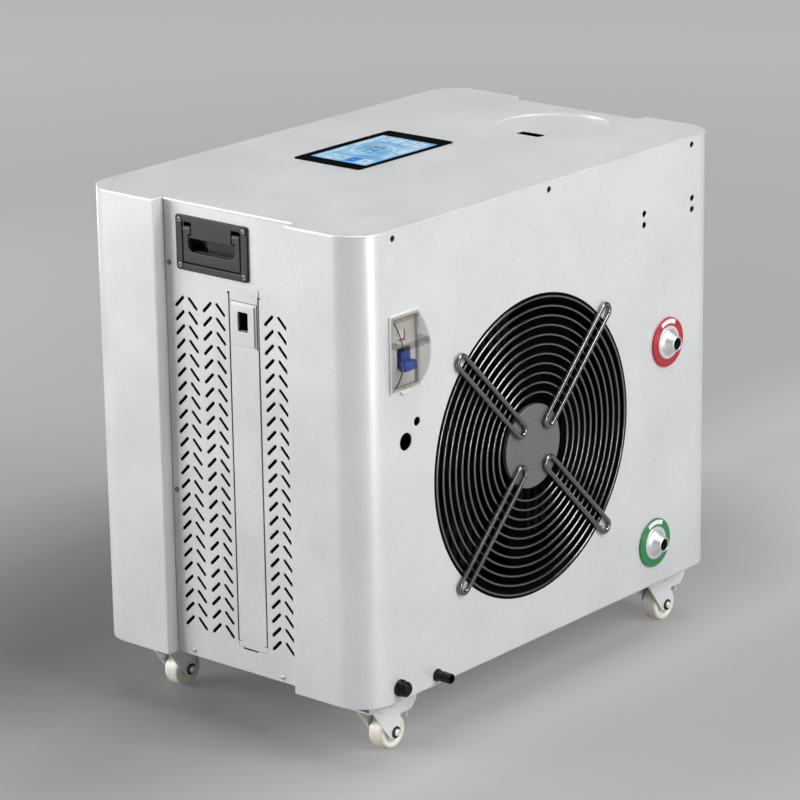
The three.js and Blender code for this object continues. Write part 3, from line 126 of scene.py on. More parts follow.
def makeFloor():
    half = studio["floorSize"] / 2
    mesh = bpy.data.meshes.new("studioFloor")
    mesh.from_pydata([(-half, -half, 0), (half, -half, 0), (half, half, 0), (-half, half, 0)], [], [(0, 1, 2, 3)])
    material, tree, shader = newMaterial("paperFloor")
    shader.inputs["Base Color"].default_value = (studio["floorColour"],) * 3 + (1,)
    shader.inputs["Roughness"].default_value = studio["floorRoughness"]
    shader.inputs["Specular IOR Level"].default_value = studio["floorShine"]
    # painted light: the floor glows for the camera, and for metal and glass that mirror it
    place = objectPlace(tree)
    reach = addNode(tree, "ShaderNodeVectorMath", {0: place}, operation="LENGTH").outputs[1]
    depth = addNode(tree, "ShaderNodeSeparateXYZ", {0: place}).outputs[1]
    glow = calculate(tree, "ADD", through(tree, reach, studio["farPaintedLight"]), through(tree, depth, studio["nearPaintedLight"]))
    rays = addNode(tree, "ShaderNodeLightPath").outputs
    seen = 0.0
    for kind in ("Camera", "Glossy", "Transmission"):
        seen = calculate(tree, "MAXIMUM", seen, rays["Is %s Ray" % kind])
    tree.links.new(calculate(tree, "MULTIPLY", glow, seen), shader.inputs["Emission Color"])
    shader.inputs["Emission Strength"].default_value = 1.0
    mesh.materials.append(material)
    floor = newObject("studioFloor", mesh)


# Node helpers

def addNode(tree, kind, inputs=None, **settings):
    made = tree.nodes.new(kind)
    for name, value in settings.items():
        setattr(made, name, value)
    for name, value in (inputs or {}).items():
        if isinstance(value, bpy.types.NodeSocket):
            tree.links.new(value, made.inputs[name])
        else:
            made.inputs[name].default_value = value
    return made


def nodeOut(tree, kind, inputs=None, **settings):  # the first output of a new node
    return addNode(tree, kind, inputs, **settings).outputs[0]


def vectorOf(tree, x=0.0, y=0.0, z=0.0):
    return nodeOut(tree, "ShaderNodeCombineXYZ", {0: x, 1: y, 2: z})


def objectPlace(tree):
    return addNode(tree, "ShaderNodeTexCoord").outputs["Object"]


def newMaterial(name):
    material = bpy.data.materials.new(name)
    material.use_nodes = True
    return material, material.node_tree, material.node_tree.nodes["Principled BSDF"]


def calculate(tree, operation, first, second=0.0, third=0.0, clamp=False):
    return nodeOut(tree, "ShaderNodeMath", {0: first, 1: second, 2: third},
                   operation=operation, use_clamp=clamp)


def mixColours(tree, share, first, second):
    mix = addNode(tree, "ShaderNodeMix", data_type="RGBA")
    for socket, value in ((mix.inputs[0], share), (mix.inputs[6], first), (mix.inputs[7], second)):
        if isinstance(value, bpy.types.NodeSocket):
            tree.links.new(value, socket)
        else:
            socket.default_value = value
    return mix.outputs[2]


def spread(tree, value, low, high, toLow=0.0, toHigh=1.0):  # a value mapped from one range to another
    return nodeOut(tree, "ShaderNodeMapRange", {0: value, 1: low, 2: high, 3: toLow, 4: toHigh})


def through(tree, value, points):  # a value read from straight lines between given points
    low, high = points[0][0], points[-1][0]
    ramp = addNode(tree, "ShaderNodeValToRGB", {"Fac": spread(tree, value, low, high)})
    stops = ramp.color_ramp.elements
    while len(stops) < len(points):
        stops.new(0.5)
    for stop, (place, level) in zip(stops, points):
        stop.position = (place - low) / (high - low)
        stop.color = (level, level, level, 1)
    return ramp.outputs[0]


# The kind of a group's input by the type of its value at rest
socketKinds = {int: "NodeSocketInt", float: "NodeSocketFloat", tuple: "NodeSocketVector", type(None): "NodeSocketMaterial"}


def newGroup(name, inputs, outputs):
    tree = bpy.data.node_groups.new(name, "ShaderNodeTree")
    for label, value in inputs:
        tree.interface.new_socket(label, in_out="INPUT", socket_type=socketKinds[type(value)]).default_value = value
    for label in outputs:
        tree.interface.new_socket(label, in_out="OUTPUT", socket_type="NodeSocketFloat")
    return tree, addNode(tree, "NodeGroupInput").outputs, addNode(tree, "NodeGroupOutput").inputs


makeCamera()
makeLamps()
makeFloor()
bpy.context.scene.view_settings.view_transform = "Standard"
print("camera and studio ready")


# Shared effects

effects = {
    "grain": {"size": 0.001, "detail": 2}, "mottle": {"size": 0.08, "detail": 4}, "noiseRoughness": 0.55,
    "dust": {"size": 0.05, "detail": 6, "facing": (0.2, 1.0), "patches": (0.4, 0.75)},
    "scuffs": {"length": 0.02, "width": 0.0006, "turn": (0.5, 0.35, 0.6), "patches": (0.68, 0.78)},
    "lathe": {"pitch": 0.0004, "detail": 2},
}


def makeGrainGroup():  # fine grain and broad mottling, grain size in metres
    pairs = (("Grain", effects["grain"]), ("Mottle", effects["mottle"]))
    tree, given, result = newGroup("surfaceGrain", [(label + " Size", spec["size"]) for label, spec in pairs],
                                   [label for label, spec in pairs])
    for label, spec in pairs:
        scale = calculate(tree, "DIVIDE", 1.0, given[label + " Size"])
        noise = nodeOut(tree, "ShaderNodeTexNoise", {"Vector": objectPlace(tree), "Scale": scale, "Detail": spec["detail"],
                                                     "Roughness": effects["noiseRoughness"]})
        tree.links.new(noise, result[label])
    return tree


def makeDustGroup():  # dust that settles on what faces up, in soft patches
    dust = effects["dust"]
    tree, given, result = newGroup("settledDust", [("Patch Size", dust["size"])], ["Mask"])
    scale = calculate(tree, "DIVIDE", 1.0, given["Patch Size"])
    noise = nodeOut(tree, "ShaderNodeTexNoise", {"Vector": objectPlace(tree), "Detail": dust["detail"], "Scale": scale})
    upward = addNode(tree, "ShaderNodeSeparateXYZ", {0: addNode(tree, "ShaderNodeNewGeometry").outputs["Normal"]})
    facing = spread(tree, upward.outputs[2], *dust["facing"])
    tree.links.new(calculate(tree, "MULTIPLY", facing, spread(tree, noise, *dust["patches"])), result["Mask"])
    return tree


def makeScuffGroup():  # sparse hairline rubs, stretched along one axis
    scuffs = effects["scuffs"]
    tree, given, result = newGroup("hairScuffs", [("Length", scuffs["length"]), ("Width", scuffs["width"])], ["Mask"])
    long = calculate(tree, "DIVIDE", 1.0, given["Length"])
    fine = calculate(tree, "DIVIDE", 1.0, given["Width"])
    slanted = nodeOut(tree, "ShaderNodeMapping", {"Vector": objectPlace(tree), "Rotation": scuffs["turn"]})
    scaled = nodeOut(tree, "ShaderNodeVectorMath", {0: slanted, 1: vectorOf(tree, long, fine, fine)}, operation="MULTIPLY")
    noise = nodeOut(tree, "ShaderNodeTexNoise", {"Vector": scaled, "Scale": 1.0, "Detail": 1})
    tree.links.new(spread(tree, noise, *scuffs["patches"]), result["Mask"])
    return tree


def makeRingGroup():  # lathe lines around an axis along Y through a centre
    tree, given, result = newGroup("latheLines", [("Centre", (0, 0, 0)), ("Pitch", effects["lathe"]["pitch"])], ["Lines"])
    offset = nodeOut(tree, "ShaderNodeVectorMath", {0: objectPlace(tree), 1: given["Centre"]}, operation="SUBTRACT")
    parts = addNode(tree, "ShaderNodeSeparateXYZ", {0: offset}).outputs
    reach = calculate(tree, "SQRT", calculate(tree, "ADD", calculate(tree, "MULTIPLY", parts[0], parts[0]),
                                              calculate(tree, "MULTIPLY", parts[2], parts[2])))
    phase = calculate(tree, "DIVIDE", calculate(tree, "ADD", reach, parts[1]), given["Pitch"])
    noise = nodeOut(tree, "ShaderNodeTexNoise", {"W": phase, "Scale": 1.0, "Detail": effects["lathe"]["detail"]},
                    noise_dimensions="1D")
    tree.links.new(noise, result["Lines"])
    return tree


grainGroup, dustGroup, scuffGroup, ringGroup = makeGrainGroup(), makeDustGroup(), makeScuffGroup(), makeRingGroup()


# Finishes: colour, roughness, metal, grain size in mm, bump depth in mm, tone variation, dust and scuffs
finishes = {
    "cabinet_coat": {"colour": (0.68, 0.685, 0.69), "roughness": 0.35, "metal": 0.3, "grain": 1.7, "depth": 0.06,
                     "variation": 0.09},
    "display_black": {"colour": (0.004, 0.004, 0.0045), "roughness": 0.35, "shine": 0.0, "grain": 0.6, "depth": 0.004,
                      "variation": 0.1, "dust": 0.005},
    "handle_grey": {"colour": (0.038, 0.0385, 0.0395), "roughness": 0.4, "shine": 0.3, "grain": 0.5, "depth": 0.02,
                    "variation": 0.12, "scuffs": 0.25},
    "guard_wire": {"colour": (0.19, 0.191, 0.195), "roughness": 0.17, "metal": 0.95, "grain": 0.8, "depth": 0.02,
                   "variation": 0.15},
    "fan_black": {"colour": (0.0015, 0.0015, 0.0015), "roughness": 0.75, "shine": 0.03, "grain": 0.7, "depth": 0.02,
                  "variation": 0.2},
    "motor_case": {"colour": (0.156, 0.156, 0.156), "roughness": 0.42, "metal": 0.3, "grain": 0.6, "depth": 0.015,
                   "variation": 0.06},
    # near black: painted shade, so the aluminium fins behind the fan read as the dark inside
    "condenser_fins": {"colour": (0.008, 0.008, 0.009), "roughness": 0.6, "shine": 0.1, "grain": 2, "depth": 0.02,
                       "variation": 0.1},
    "breaker_ivory": {"colour": (0.66, 0.66, 0.62), "roughness": 0.38, "grain": 0.5, "depth": 0.01, "variation": 0.03},
    "lever_blue": {"colour": (0.03, 0.075, 0.34), "roughness": 0.36, "grain": 0.5, "depth": 0.01, "variation": 0.06},
    "ring_red": {"colour": (0.4, 0.012, 0.022), "roughness": 0.3, "grain": 0.6, "depth": 0.01, "variation": 0.05},
    "ring_green": {"colour": (0.022, 0.19, 0.065), "roughness": 0.3, "grain": 0.6, "depth": 0.01, "variation": 0.05},
    "port_metal": {"colour": (0.84, 0.845, 0.85), "roughness": 0.42, "metal": 0.85, "grain": 0.8, "depth": 0.005,
                   "variation": 0.04},
    "drain_black": {"colour": (0.003, 0.003, 0.0032), "roughness": 0.26, "shine": 0.22, "grain": 0.5, "depth": 0.015,
                    "variation": 0.2},
    "caster_zinc": {"colour": (0.86, 0.86, 0.86), "roughness": 0.42, "metal": 0.4, "grain": 1.6, "depth": 0.02, "variation": 0.07},
    "wheel_nylon": {"colour": (0.76, 0.74, 0.635), "roughness": 0.38, "grain": 1.2, "depth": 0.03, "variation": 0.05,
                    "glow": 0.12},
    "compressor_black": {"colour": (0.012, 0.012, 0.013), "roughness": 0.34, "grain": 1.2, "depth": 0.04,
                         "variation": 0.2, "dust": 0.1},
    "exchanger_foam": {"colour": (0.012, 0.012, 0.012), "roughness": 0.85, "grain": 2.5, "depth": 0.35,
                       "variation": 0.4, "dust": 0.15},
    "filter_blue": {"colour": (0.02, 0.1, 0.36), "roughness": 0.22, "grain": 1.0, "depth": 0.01, "variation": 0.08},
    "box_ivory": {"colour": (0.62, 0.61, 0.56), "roughness": 0.5, "grain": 0.7, "depth": 0.03, "variation": 0.05, "dust": 0.1},
    "copper_pipe": {"colour": (0.62, 0.26, 0.13), "roughness": 0.3, "metal": 1.0, "grain": 6, "depth": 0.01, "variation": 0.25},
    "hose_grey": {"colour": (0.2, 0.21, 0.22), "roughness": 0.6, "grain": 1.2, "depth": 0.15, "variation": 0.2},
    "rubber_black": {"colour": (0.01, 0.01, 0.01), "roughness": 0.7, "grain": 0.8, "depth": 0.03, "variation": 0.2},
    "screw_steel": {"colour": (0.62, 0.63, 0.64), "roughness": 0.22, "metal": 1.0, "grain": 1.0, "depth": 0.01, "variation": 0.08},
    "axle_steel": {"colour": (0.93, 0.93, 0.92), "roughness": 0.34, "metal": 0.6, "grain": 1.0, "depth": 0.01, "variation": 0.06},
    "label_white": {"colour": (0.8, 0.8, 0.78), "roughness": 0.5, "grain": 0.5, "depth": 0.01, "variation": 0.03},
    # lighter than handle_grey: a painted highlight on the hinge knuckles
    "knuckle_grey": {"colour": (0.075, 0.076, 0.078), "roughness": 0.55, "grain": 0.5, "depth": 0.02,
                     "variation": 0.15, "scuffs": 0.4},
    "screw_grey": {"colour": (0.3, 0.3, 0.305), "roughness": 0.32, "metal": 0.8, "grain": 0.5, "depth": 0.01, "variation": 0.12},
    "screw_dark": {"colour": (0.2, 0.2, 0.205), "roughness": 0.25, "metal": 0.85, "grain": 0.5, "depth": 0.01, "variation": 0.15},
    "screw_black": {"colour": (0.02, 0.02, 0.021), "roughness": 0.36, "metal": 0.4, "grain": 0.5, "depth": 0.01, "variation": 0.2},
}
# How every finish mixes its effects: share of the fine grain, range of the tone, swing of the roughness
finishMix = {"fineShare": 0.6, "tones": (0.3, 0.7), "roughSwing": 0.12, "dustColour": (0.42, 0.4, 0.37, 1), "dustRoughness": 0.8,
             "scuffLight": 2.5, "scuffRoughness": -0.3, "glowReach": (0.004, 0.003, 0.002)}


def makeFinish(name, spec, extraHeight=None):
    material, tree, shader = newMaterial(name)
    grain = addNode(tree, "ShaderNodeGroup", node_tree=grainGroup)
    grain.inputs["Grain Size"].default_value = spec["grain"] * mm
    fine, broad = grain.outputs["Grain"], grain.outputs["Mottle"]
    variation, colour = spec["variation"], Vector(spec["colour"])
    light, dark = (*(colour * (1 + variation)), 1), (*(colour * (1 - variation)), 1)
    fineShare, swing = finishMix["fineShare"], finishMix["roughSwing"]
    tone = calculate(tree, "MULTIPLY_ADD", fine, fineShare, calculate(tree, "MULTIPLY", broad, 1 - fineShare))
    surface = mixColours(tree, spread(tree, tone, *finishMix["tones"]), dark, light)
    rough = calculate(tree, "MULTIPLY_ADD", broad, swing, spec["roughness"] - swing / 2)
    for key, group, tint, change in (("dust", dustGroup, finishMix["dustColour"], finishMix["dustRoughness"]),
                                     ("scuffs", scuffGroup, (*(colour * finishMix["scuffLight"]), 1), finishMix["scuffRoughness"])):
        if spec.get(key):
            mask = addNode(tree, "ShaderNodeGroup", node_tree=group).outputs["Mask"]
            share = calculate(tree, "MULTIPLY", mask, spec[key])
            surface = mixColours(tree, share, surface, tint)
            rough = calculate(tree, "MULTIPLY_ADD", share, change, rough, clamp=True)
    tree.links.new(surface, shader.inputs["Base Color"])
    tree.links.new(rough, shader.inputs["Roughness"])
    shader.inputs["Metallic"].default_value = spec.get("metal", 0.0)
    shader.inputs["Specular IOR Level"].default_value = spec.get("shine", 0.5)
    if spec.get("glow"):
        shader.inputs["Subsurface Weight"].default_value = spec["glow"]
        shader.inputs["Subsurface Radius"].default_value = finishMix["glowReach"]
        shader.inputs["Subsurface Scale"].default_value = 1.0
    bump = nodeOut(tree, "ShaderNodeBump", {"Strength": 1.0, "Distance": spec["depth"] * mm, "Height": fine})
    if extraHeight:
        height, depth = extraHeight(tree)
        bump = nodeOut(tree, "ShaderNodeBump", {"Strength": 1.0, "Distance": depth * mm, "Height": height,
                                                "Normal": bump})
    tree.links.new(bump, shader.inputs["Normal"])
    return material


materials = {name: makeFinish(name, spec) for name, spec in finishes.items()}
print("finishes ready")


# Mesh helpers: meshes are drawn in millimetres and made metres at the end


def loopOf(*points):
    return [Vector(point) for point in points]


def rectangle(low, high, clockwise=False):
    points = loopOf((low[0], low[1]), (high[0], low[1]), (high[0], high[1]), (low[0], high[1]))
    return points[:1] + points[:0:-1] if clockwise else points


def centreOf(low, high):  # the centre of a round piece whose axis runs along Y
    return ((low.x + high.x) / 2, 0, (low.z + high.z) / 2)


def onEnd(face, sign):  # where a plate on an end wall lies: its height counts along X from the face
    return lambda u, v, w: (face + sign * w, u, v)


def onFace(face, sign):  # where a plate on the front lies: its height counts along Y from the face
    return lambda u, v, w: (u, face + sign * w, v)


def offsetLoop(points, distance):  # a closed loop moved to its left, with mitred corners
    moved = []
    for i, point in enumerate(points):
        a = (point - points[i - 1]).normalized()
        b = (points[(i + 1) % len(points)] - point).normalized()
        moved.append(point + Vector((-a.y - b.y, a.x + b.x)) * (distance / (1 + a.dot(b))))
    return moved


def arc(centre, radius, start, end, steps):  # points on a circle between two angles in degrees
    angles = [math.radians(start + (end - start) * k / steps) for k in range(steps + 1)]
    return loopOf(*((centre[0] + radius * math.cos(angle), centre[1] + radius * math.sin(angle)) for angle in angles))


def circleLoop(centre, radius, sides=64, clockwise=True):
    return arc(centre, radius, 0, -360 if clockwise else 360, sides)[:-1]


def roundedLoop(low, high, radius, steps=5, clockwise=False):  # a rectangle with rounded corners
    corners = [(high[0] - radius, low[1] + radius, -90), (high[0] - radius, high[1] - radius, 0),
               (low[0] + radius, high[1] - radius, 90), (low[0] + radius, low[1] + radius, 180)]
    points = [point for x, y, start in corners for point in arc((x, y), radius, start, start + 90, steps)]
    return points[::-1] if clockwise else points


def joinRings(bm, rings, closed=True):  # quads between rings of vertices, each ring closed
    pairs = list(zip(rings, rings[1:])) + ([(rings[-1], rings[0])] if closed else [])
    for first, second in pairs:
        for i in range(len(first)):
            j = (i + 1) % len(first)
            bm.faces.new((first[i], first[j], second[j], second[i]))


def isInside(point, loop):  # whether a point lies inside a closed loop
    inside = False
    for a, b in zip(loop, loop[1:] + loop[:1]):
        if (a.y > point.y) != (b.y > point.y) and point.x < a.x + (point.y - a.y) * (b.x - a.x) / (b.y - a.y):
            inside = not inside
    return inside


def plate(bm, loops, low, high, edge, place=lambda u, v, w: (u, v, w), steps=3, lowEdge=None, holeEdge=None):
    # the outer loop runs anticlockwise and the holes clockwise, low and high are along the thickness
    topLoops, lowLoops = [], []
    for number, loop in enumerate(loops):
        first = holeEdge if number and holeEdge is not None else edge
        rims = []
        for height, sign, radius in ((high, -1, first), (low, 1, first if lowEdge is None else lowEdge)):
            levels = []
            for k in range(steps + 1):
                angle = math.radians(90 * k / steps)
                levels.append((radius * (1 - math.sin(angle)), height + sign * radius * (1 - math.cos(angle))))
            rims.append(levels if sign < 0 else levels[::-1])
        rings = [[bm.verts.new(place(p.x, p.y, w)) for p in (offsetLoop(loop, inset) if inset > 1e-6 else loop)]
                 for inset, w in rims[0] + rims[1]]
        joinRings(bm, rings, closed=False)
        topLoops.append(rings[0])
        lowLoops.append(rings[-1])
    flat, edges, start = [], [], 0
    for loop in loops:
        flat += loop
        edges += [(start + i, start + (i + 1) % len(loop)) for i in range(len(loop))]
        start += len(loop)
    points, _, faces, origins, _, _ = delaunay_2d_cdt(flat, edges, [], 1, 1e-5)
    middles = [sum((points[i] for i in face), Vector((0, 0))) / 3 for face in faces]
    faces = [face for face, middle in zip(faces, middles) if not any(isInside(middle, hole) for hole in loops[1:])]
    for ringSet, turn in ((topLoops, False), (lowLoops, True)):
        verts = [v for ring in ringSet for v in ring]
        for face in faces:
            corners = [verts[origins[i][0]] for i in face]
            bm.faces.new(corners[::-1] if turn else corners)


def turned(bm, profile, centre, axis="y", steps=48):  # [radius, place] pairs turned about an axis through a centre
    rings = []
    for radius, along in profile:
        count = 1 if radius < 1e-6 else steps
        ring = []
        for i in range(count):
            angle = 2 * math.pi * i / steps
            a, b = radius * math.cos(angle), radius * math.sin(angle)
            offset = {"x": (along, a, b), "y": (a, along, b), "z": (a, b, along)}[axis]
            ring.append(bm.verts.new(Vector(centre) + Vector(offset)))
        rings.append(ring)
    for first, second in zip(rings, rings[1:]):
        for i in range(steps):
            j = (i + 1) % steps
            corners = [first[i % len(first)], first[j % len(first)], second[j % len(second)], second[i % len(second)]]
            kept = [c for n, c in enumerate(corners) if c not in corners[:n]]
            if len(kept) > 2:
                bm.faces.new(kept)


def lathed(bm, table, anchors, centre, axis="y", steps=48, fillet=0.0, filletSteps=2, closed=False):
    # a turned form from a table of radius, the anchor that its place counts from, and the distance from there
    profile = [(radius, anchors[anchor] + shift) for radius, anchor, shift in table]
    if fillet:
        profile = filleted(profile, fillet, filletSteps, closed)
    turned(bm, profile + profile[:1] if closed else profile, centre, axis, steps)


def filleted(profile, radius, steps=3, closed=False):  # open or closed profile whose corners are rounded
    points = [Vector(p) for p in profile]
    out = []
    for i, point in enumerate(points):
        if not closed and i in (0, len(points) - 1):
            out.append(tuple(point))
            continue
        before, after = points[i - 1], points[(i + 1) % len(points)]
        a, b = before - point, after - point
        reach = min(radius, a.length * 0.45, b.length * 0.45)
        if reach < 1e-4 or abs(a.normalized().dot(b.normalized())) > 0.999:
            out.append(tuple(point))
            continue
        start, end = point + a.normalized() * reach, point + b.normalized() * reach
        for k in range(steps + 1):
            t = k / steps
            out.append(tuple((1 - t) ** 2 * start + 2 * t * (1 - t) * point + t ** 2 * end))
    return out


def swept(bm, path, radius, sides=12, closed=False, section=None):  # a rod along a path, or a section [u, v] along it
    points = [Vector(p) for p in path]
    count = len(points)
    section = section or [(radius * math.cos(2 * math.pi * i / sides), radius * math.sin(2 * math.pi * i / sides))
                          for i in range(sides)]
    normal, rings = None, []
    for i, point in enumerate(points):
        before = points[i - 1] if closed or i else points[0]
        after = points[(i + 1) % count] if closed or i < count - 1 else points[-1]
        along = (after - before).normalized()
        if normal is None:
            normal = along.orthogonal().normalized()
        normal = (normal - along * normal.dot(along)).normalized()
        across = along.cross(normal)
        rings.append([bm.verts.new(point + normal * u + across * v) for u, v in section])
    joinRings(bm, rings, closed=closed)
    if not closed:
        bm.faces.new(rings[0])
        bm.faces.new(rings[-1])


def block(bm, low, high, edge=0.0, steps=2):  # a box with rounded edges
    made = bmesh.ops.create_cube(bm, size=1)["verts"]
    low, high = Vector(low), Vector(high)
    for v in made:
        v.co = Vector([low[k] if v.co[k] < 0 else high[k] for k in range(3)])
    if edge:
        edges = list({e for v in made for e in v.link_edges})
        bmesh.ops.bevel(bm, geom=edges, offset=edge, segments=steps, affect="EDGES", profile=0.5)


def copyInto(bm, other, place=None, index=0):  # another drawing copied in, and freed
    lookup = {v: bm.verts.new(place(v.co) if place else v.co) for v in other.verts}
    for face in other.faces:
        bm.faces.new([lookup[v] for v in face.verts]).material_index = index
    other.free()


def copyOfNode(node):  # a merged copy of a node's mesh, in millimetres
    bm = bmesh.new()
    bm.from_mesh(frame["nodes"][node].data)
    bmesh.ops.transform(bm, matrix=Matrix.Scale(1 / mm, 4), verts=bm.verts)
    bmesh.ops.remove_doubles(bm, verts=bm.verts, dist=0.001)
    return bm


def bake(obj):  # modifiers applied: the evaluated object becomes a plain mesh
    bpy.context.view_layer.update()
    mesh = bpy.data.meshes.new_from_object(obj.evaluated_get(bpy.context.evaluated_depsgraph_get()))
    obj.modifiers.clear()
    old, obj.data = obj.data, mesh
    if old.users == 0:
        bpy.data.meshes.remove(old)


def addPiece(name, bm, finish, body, nodes=(), smooth=35, weld=0.002, outward=True):
    # the drawn mesh becomes a piece in metres that rides on a body and may stand for CAD nodes
    bmesh.ops.remove_doubles(bm, verts=bm.verts, dist=weld)
    if outward:
        bmesh.ops.recalc_face_normals(bm, faces=bm.faces)
    bmesh.ops.transform(bm, matrix=Matrix.Scale(mm, 4), verts=bm.verts)
    mesh = bpy.data.meshes.new(name)
    bm.to_mesh(mesh)
    bm.free()
    for material in finish if isinstance(finish, list) else [finish]:
        mesh.materials.append(materials[material] if isinstance(material, str) else material)
    mesh.shade_smooth()
    mesh.set_sharp_from_angle(angle=math.radians(smooth))
    obj = newObject(name, mesh)
    weighted = obj.modifiers.new("weightedNormals", "WEIGHTED_NORMAL")
    weighted.keep_sharp = True
    weighted.weight = 100
    bake(obj)
    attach(obj, body)
    if nodes:
        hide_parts(*nodes)


# Cabinet

cabinet = {"sheet": 2.0, "cornerRadius": 46.0, "cornerSteps": 20, "foldRadius": 1.6, "foldSteps": 4, "edge": 0.5}
frontLow, frontHigh = boxOf("front_panel")
rearLow, rearHigh = boxOf("rear_panel")
topHigh = boxOf("top_cover")[1]
leftEnd, rightEnd, wallFoot = frontLow.x, frontHigh.x, frontLow.z
recess = boxOf("left_panel")[0].x - leftEnd
underTop = topHigh.z - cabinet["sheet"]


def wallPath(side):  # plan of the outer face of the front (side -1) or rear wall, from the left recess to the right one
    inner = frontHigh.y if side < 0 else rearLow.y
    outer = frontLow.y if side < 0 else rearHigh.y
    fold, corner = cabinet["foldRadius"], cabinet["cornerRadius"]
    corners = [((leftEnd + recess, inner), 0, 0), ((leftEnd, inner), fold, cabinet["foldSteps"]),
               ((leftEnd, outer), corner, cabinet["cornerSteps"]), ((rightEnd, outer), corner, cabinet["cornerSteps"]),
               ((rightEnd, inner), fold, cabinet["foldSteps"]), ((rightEnd - recess, inner), 0, 0)]
    points = [Vector(corners[0][0])]
    for i in range(1, len(corners) - 1):
        place, radius, steps = Vector(corners[i][0]), corners[i][1], corners[i][2]
        a = (Vector(corners[i - 1][0]) - place).normalized()
        b = (Vector(corners[i + 1][0]) - place).normalized()
        centre = place + (a + b) * radius
        for k in range(steps + 1):
            angle = math.pi / 2 * k / steps
            points.append(centre - b * radius * math.cos(angle) - a * radius * math.sin(angle))
    points.append(Vector(corners[-1][0]))
    return points


def bendPlate(bm, path, side):
    # a flat plate, drawn in length along the path, height and depth behind the face, is bent round the path
    lengths = [0.0]
    for a, b in zip(path, path[1:]):
        lengths.append(lengths[-1] + (b - a).length)
    for length in lengths[1:-1]:
        bmesh.ops.bisect_plane(bm, geom=bm.verts[:] + bm.edges[:] + bm.faces[:], dist=1e-4,
                               plane_co=(length, 0, 0), plane_no=(1, 0, 0))
    tangents = [(b - a).normalized() for a, b in zip(path, path[1:])]

    def inward(tangent):  # the inside of the cabinet lies left of the front wall's path and right of the rear wall's
        return Vector((-tangent.y, tangent.x)) * -side

    miters = [inward(tangents[0])]
    for a, b in zip(tangents, tangents[1:]):
        na, nb = inward(a), inward(b)
        miters.append((na + nb) / (1 + na.dot(nb)))
    miters.append(inward(tangents[-1]))
    for v in bm.verts:
        s = min(max(v.co.x, 0.0), lengths[-1])
        k = 0
        while k < len(tangents) - 1 and s > lengths[k + 1] + 1e-6:
            k += 1
        t = (s - lengths[k]) / (lengths[k + 1] - lengths[k])
        base = path[k].lerp(path[k + 1], t) + tangents[k] * (v.co.x - s)
        depth = miters[k].lerp(miters[k + 1], t) * v.co.z
        v.co = Vector((base.x + depth.x, base.y + depth.y, v.co.y))


# Holes of the front: centres in X and Z, radii and, last in each row, the number of sides
faceHoles = {"fan": (198.0, 160), "pipes": {"outlet_port": 11, "inlet_port": 11, "drain_plug": 7.2, "drain_spout": 6.9},
             "pipeSides": 32, "cables": ((-285.9, 417.7, 11.2), (-264.1, 438.3, 5.8)), "cableSides": 40,
             "screwX": (-305.0, -1.5, 304.0), "screwZ": 675.5, "screwRadius": 4.0, "screwSides": 24,
             "strapX": (305.8, 200.0), "strapZ": (603.0, 588.0), "strapRadius": 4.3, "breakerInset": 3.2, "breakerCorner": 1}
fanCentre = (boxOf("fan_motor")[0] + boxOf("fan_motor")[1]) / 2
faceY = frontLow.y


def flatWall(side):  # the path of a wall, its length and its flat outline
    path = wallPath(side)
    total = sum((b - a).length for a, b in zip(path, path[1:]))
    return path, total, rectangle((0, wallFoot), (total, underTop))


def makeFrontPanel():
    path, total, outline = flatWall(-1)
    # where x = 0 on the face lies along the path
    middle = total / 2 - (leftEnd + rightEnd) / 2
    rounds = [(fanCentre.x, fanCentre.z, *faceHoles["fan"])]
    for node, radius in faceHoles["pipes"].items():
        x, _, z = centreOf(*boxOf(node))
        rounds.append((x, z, radius, faceHoles["pipeSides"]))
    rounds += [(*row, faceHoles["cableSides"]) for row in faceHoles["cables"]]
    rounds += [(x, faceHoles["screwZ"], faceHoles["screwRadius"], faceHoles["screwSides"]) for x in faceHoles["screwX"]]
    rounds += [(x, z, faceHoles["strapRadius"], faceHoles["screwSides"]) for x in faceHoles["strapX"] for z in faceHoles["strapZ"]]
    loops = [outline] + [circleLoop((x + middle, z), radius, sides) for x, z, radius, sides in rounds]
    low, high = boxOf("breaker_frame")
    inset = faceHoles["breakerInset"]
    loops.append(roundedLoop((low.x + inset + middle, low.z + inset), (high.x - inset + middle, high.z - inset),
                             faceHoles["breakerCorner"], 3, clockwise=True))
    bm = bmesh.new()
    plate(bm, loops, 0, cabinet["sheet"], cabinet["edge"])
    bendPlate(bm, path, -1)
    addPiece("frontPanel", bm, "cabinet_coat", "cabinet", ["front_panel"], smooth=30)


def makeRearPanel():
    path, total, outline = flatWall(1)
    bm = bmesh.new()
    plate(bm, [outline], 0, cabinet["sheet"], cabinet["edge"])
    bendPlate(bm, path, 1)
    addPiece("rearPanel", bm, "cabinet_coat", "cabinet", ["rear_panel"], smooth=30)


displayLow, displayHigh = boxOf("display_frame")
lidLow, lidHigh = boxOf("filter_lid")
lidCentre, lidRadius = (lidLow + lidHigh) / 2, (lidHigh.x - lidLow.x) / 2
topCover = {"proud": 2.4, "edge": 1.6, "footEdge": 0.2, "holeEdge": 0.3, "hem": 2.2, "hemGap": 0.2, "hemEnd": 0.6, "hemEdge": 0.3,
            "displayInset": 4.5, "displayCorner": 2, "lidGap": 0.9, "lidDrop": 1.7, "lidEdge": 0.3, "lidSides": 128,
            "ledge": 8.0, "ledgeReach": 2.0, "ledgeSheet": 2.0, "ledgeBelow": 0.05, "ledgeEdge": 0.4,
            "fingerShift": 49, "fingerSize": (8, 19), "fingerCorner": 4}


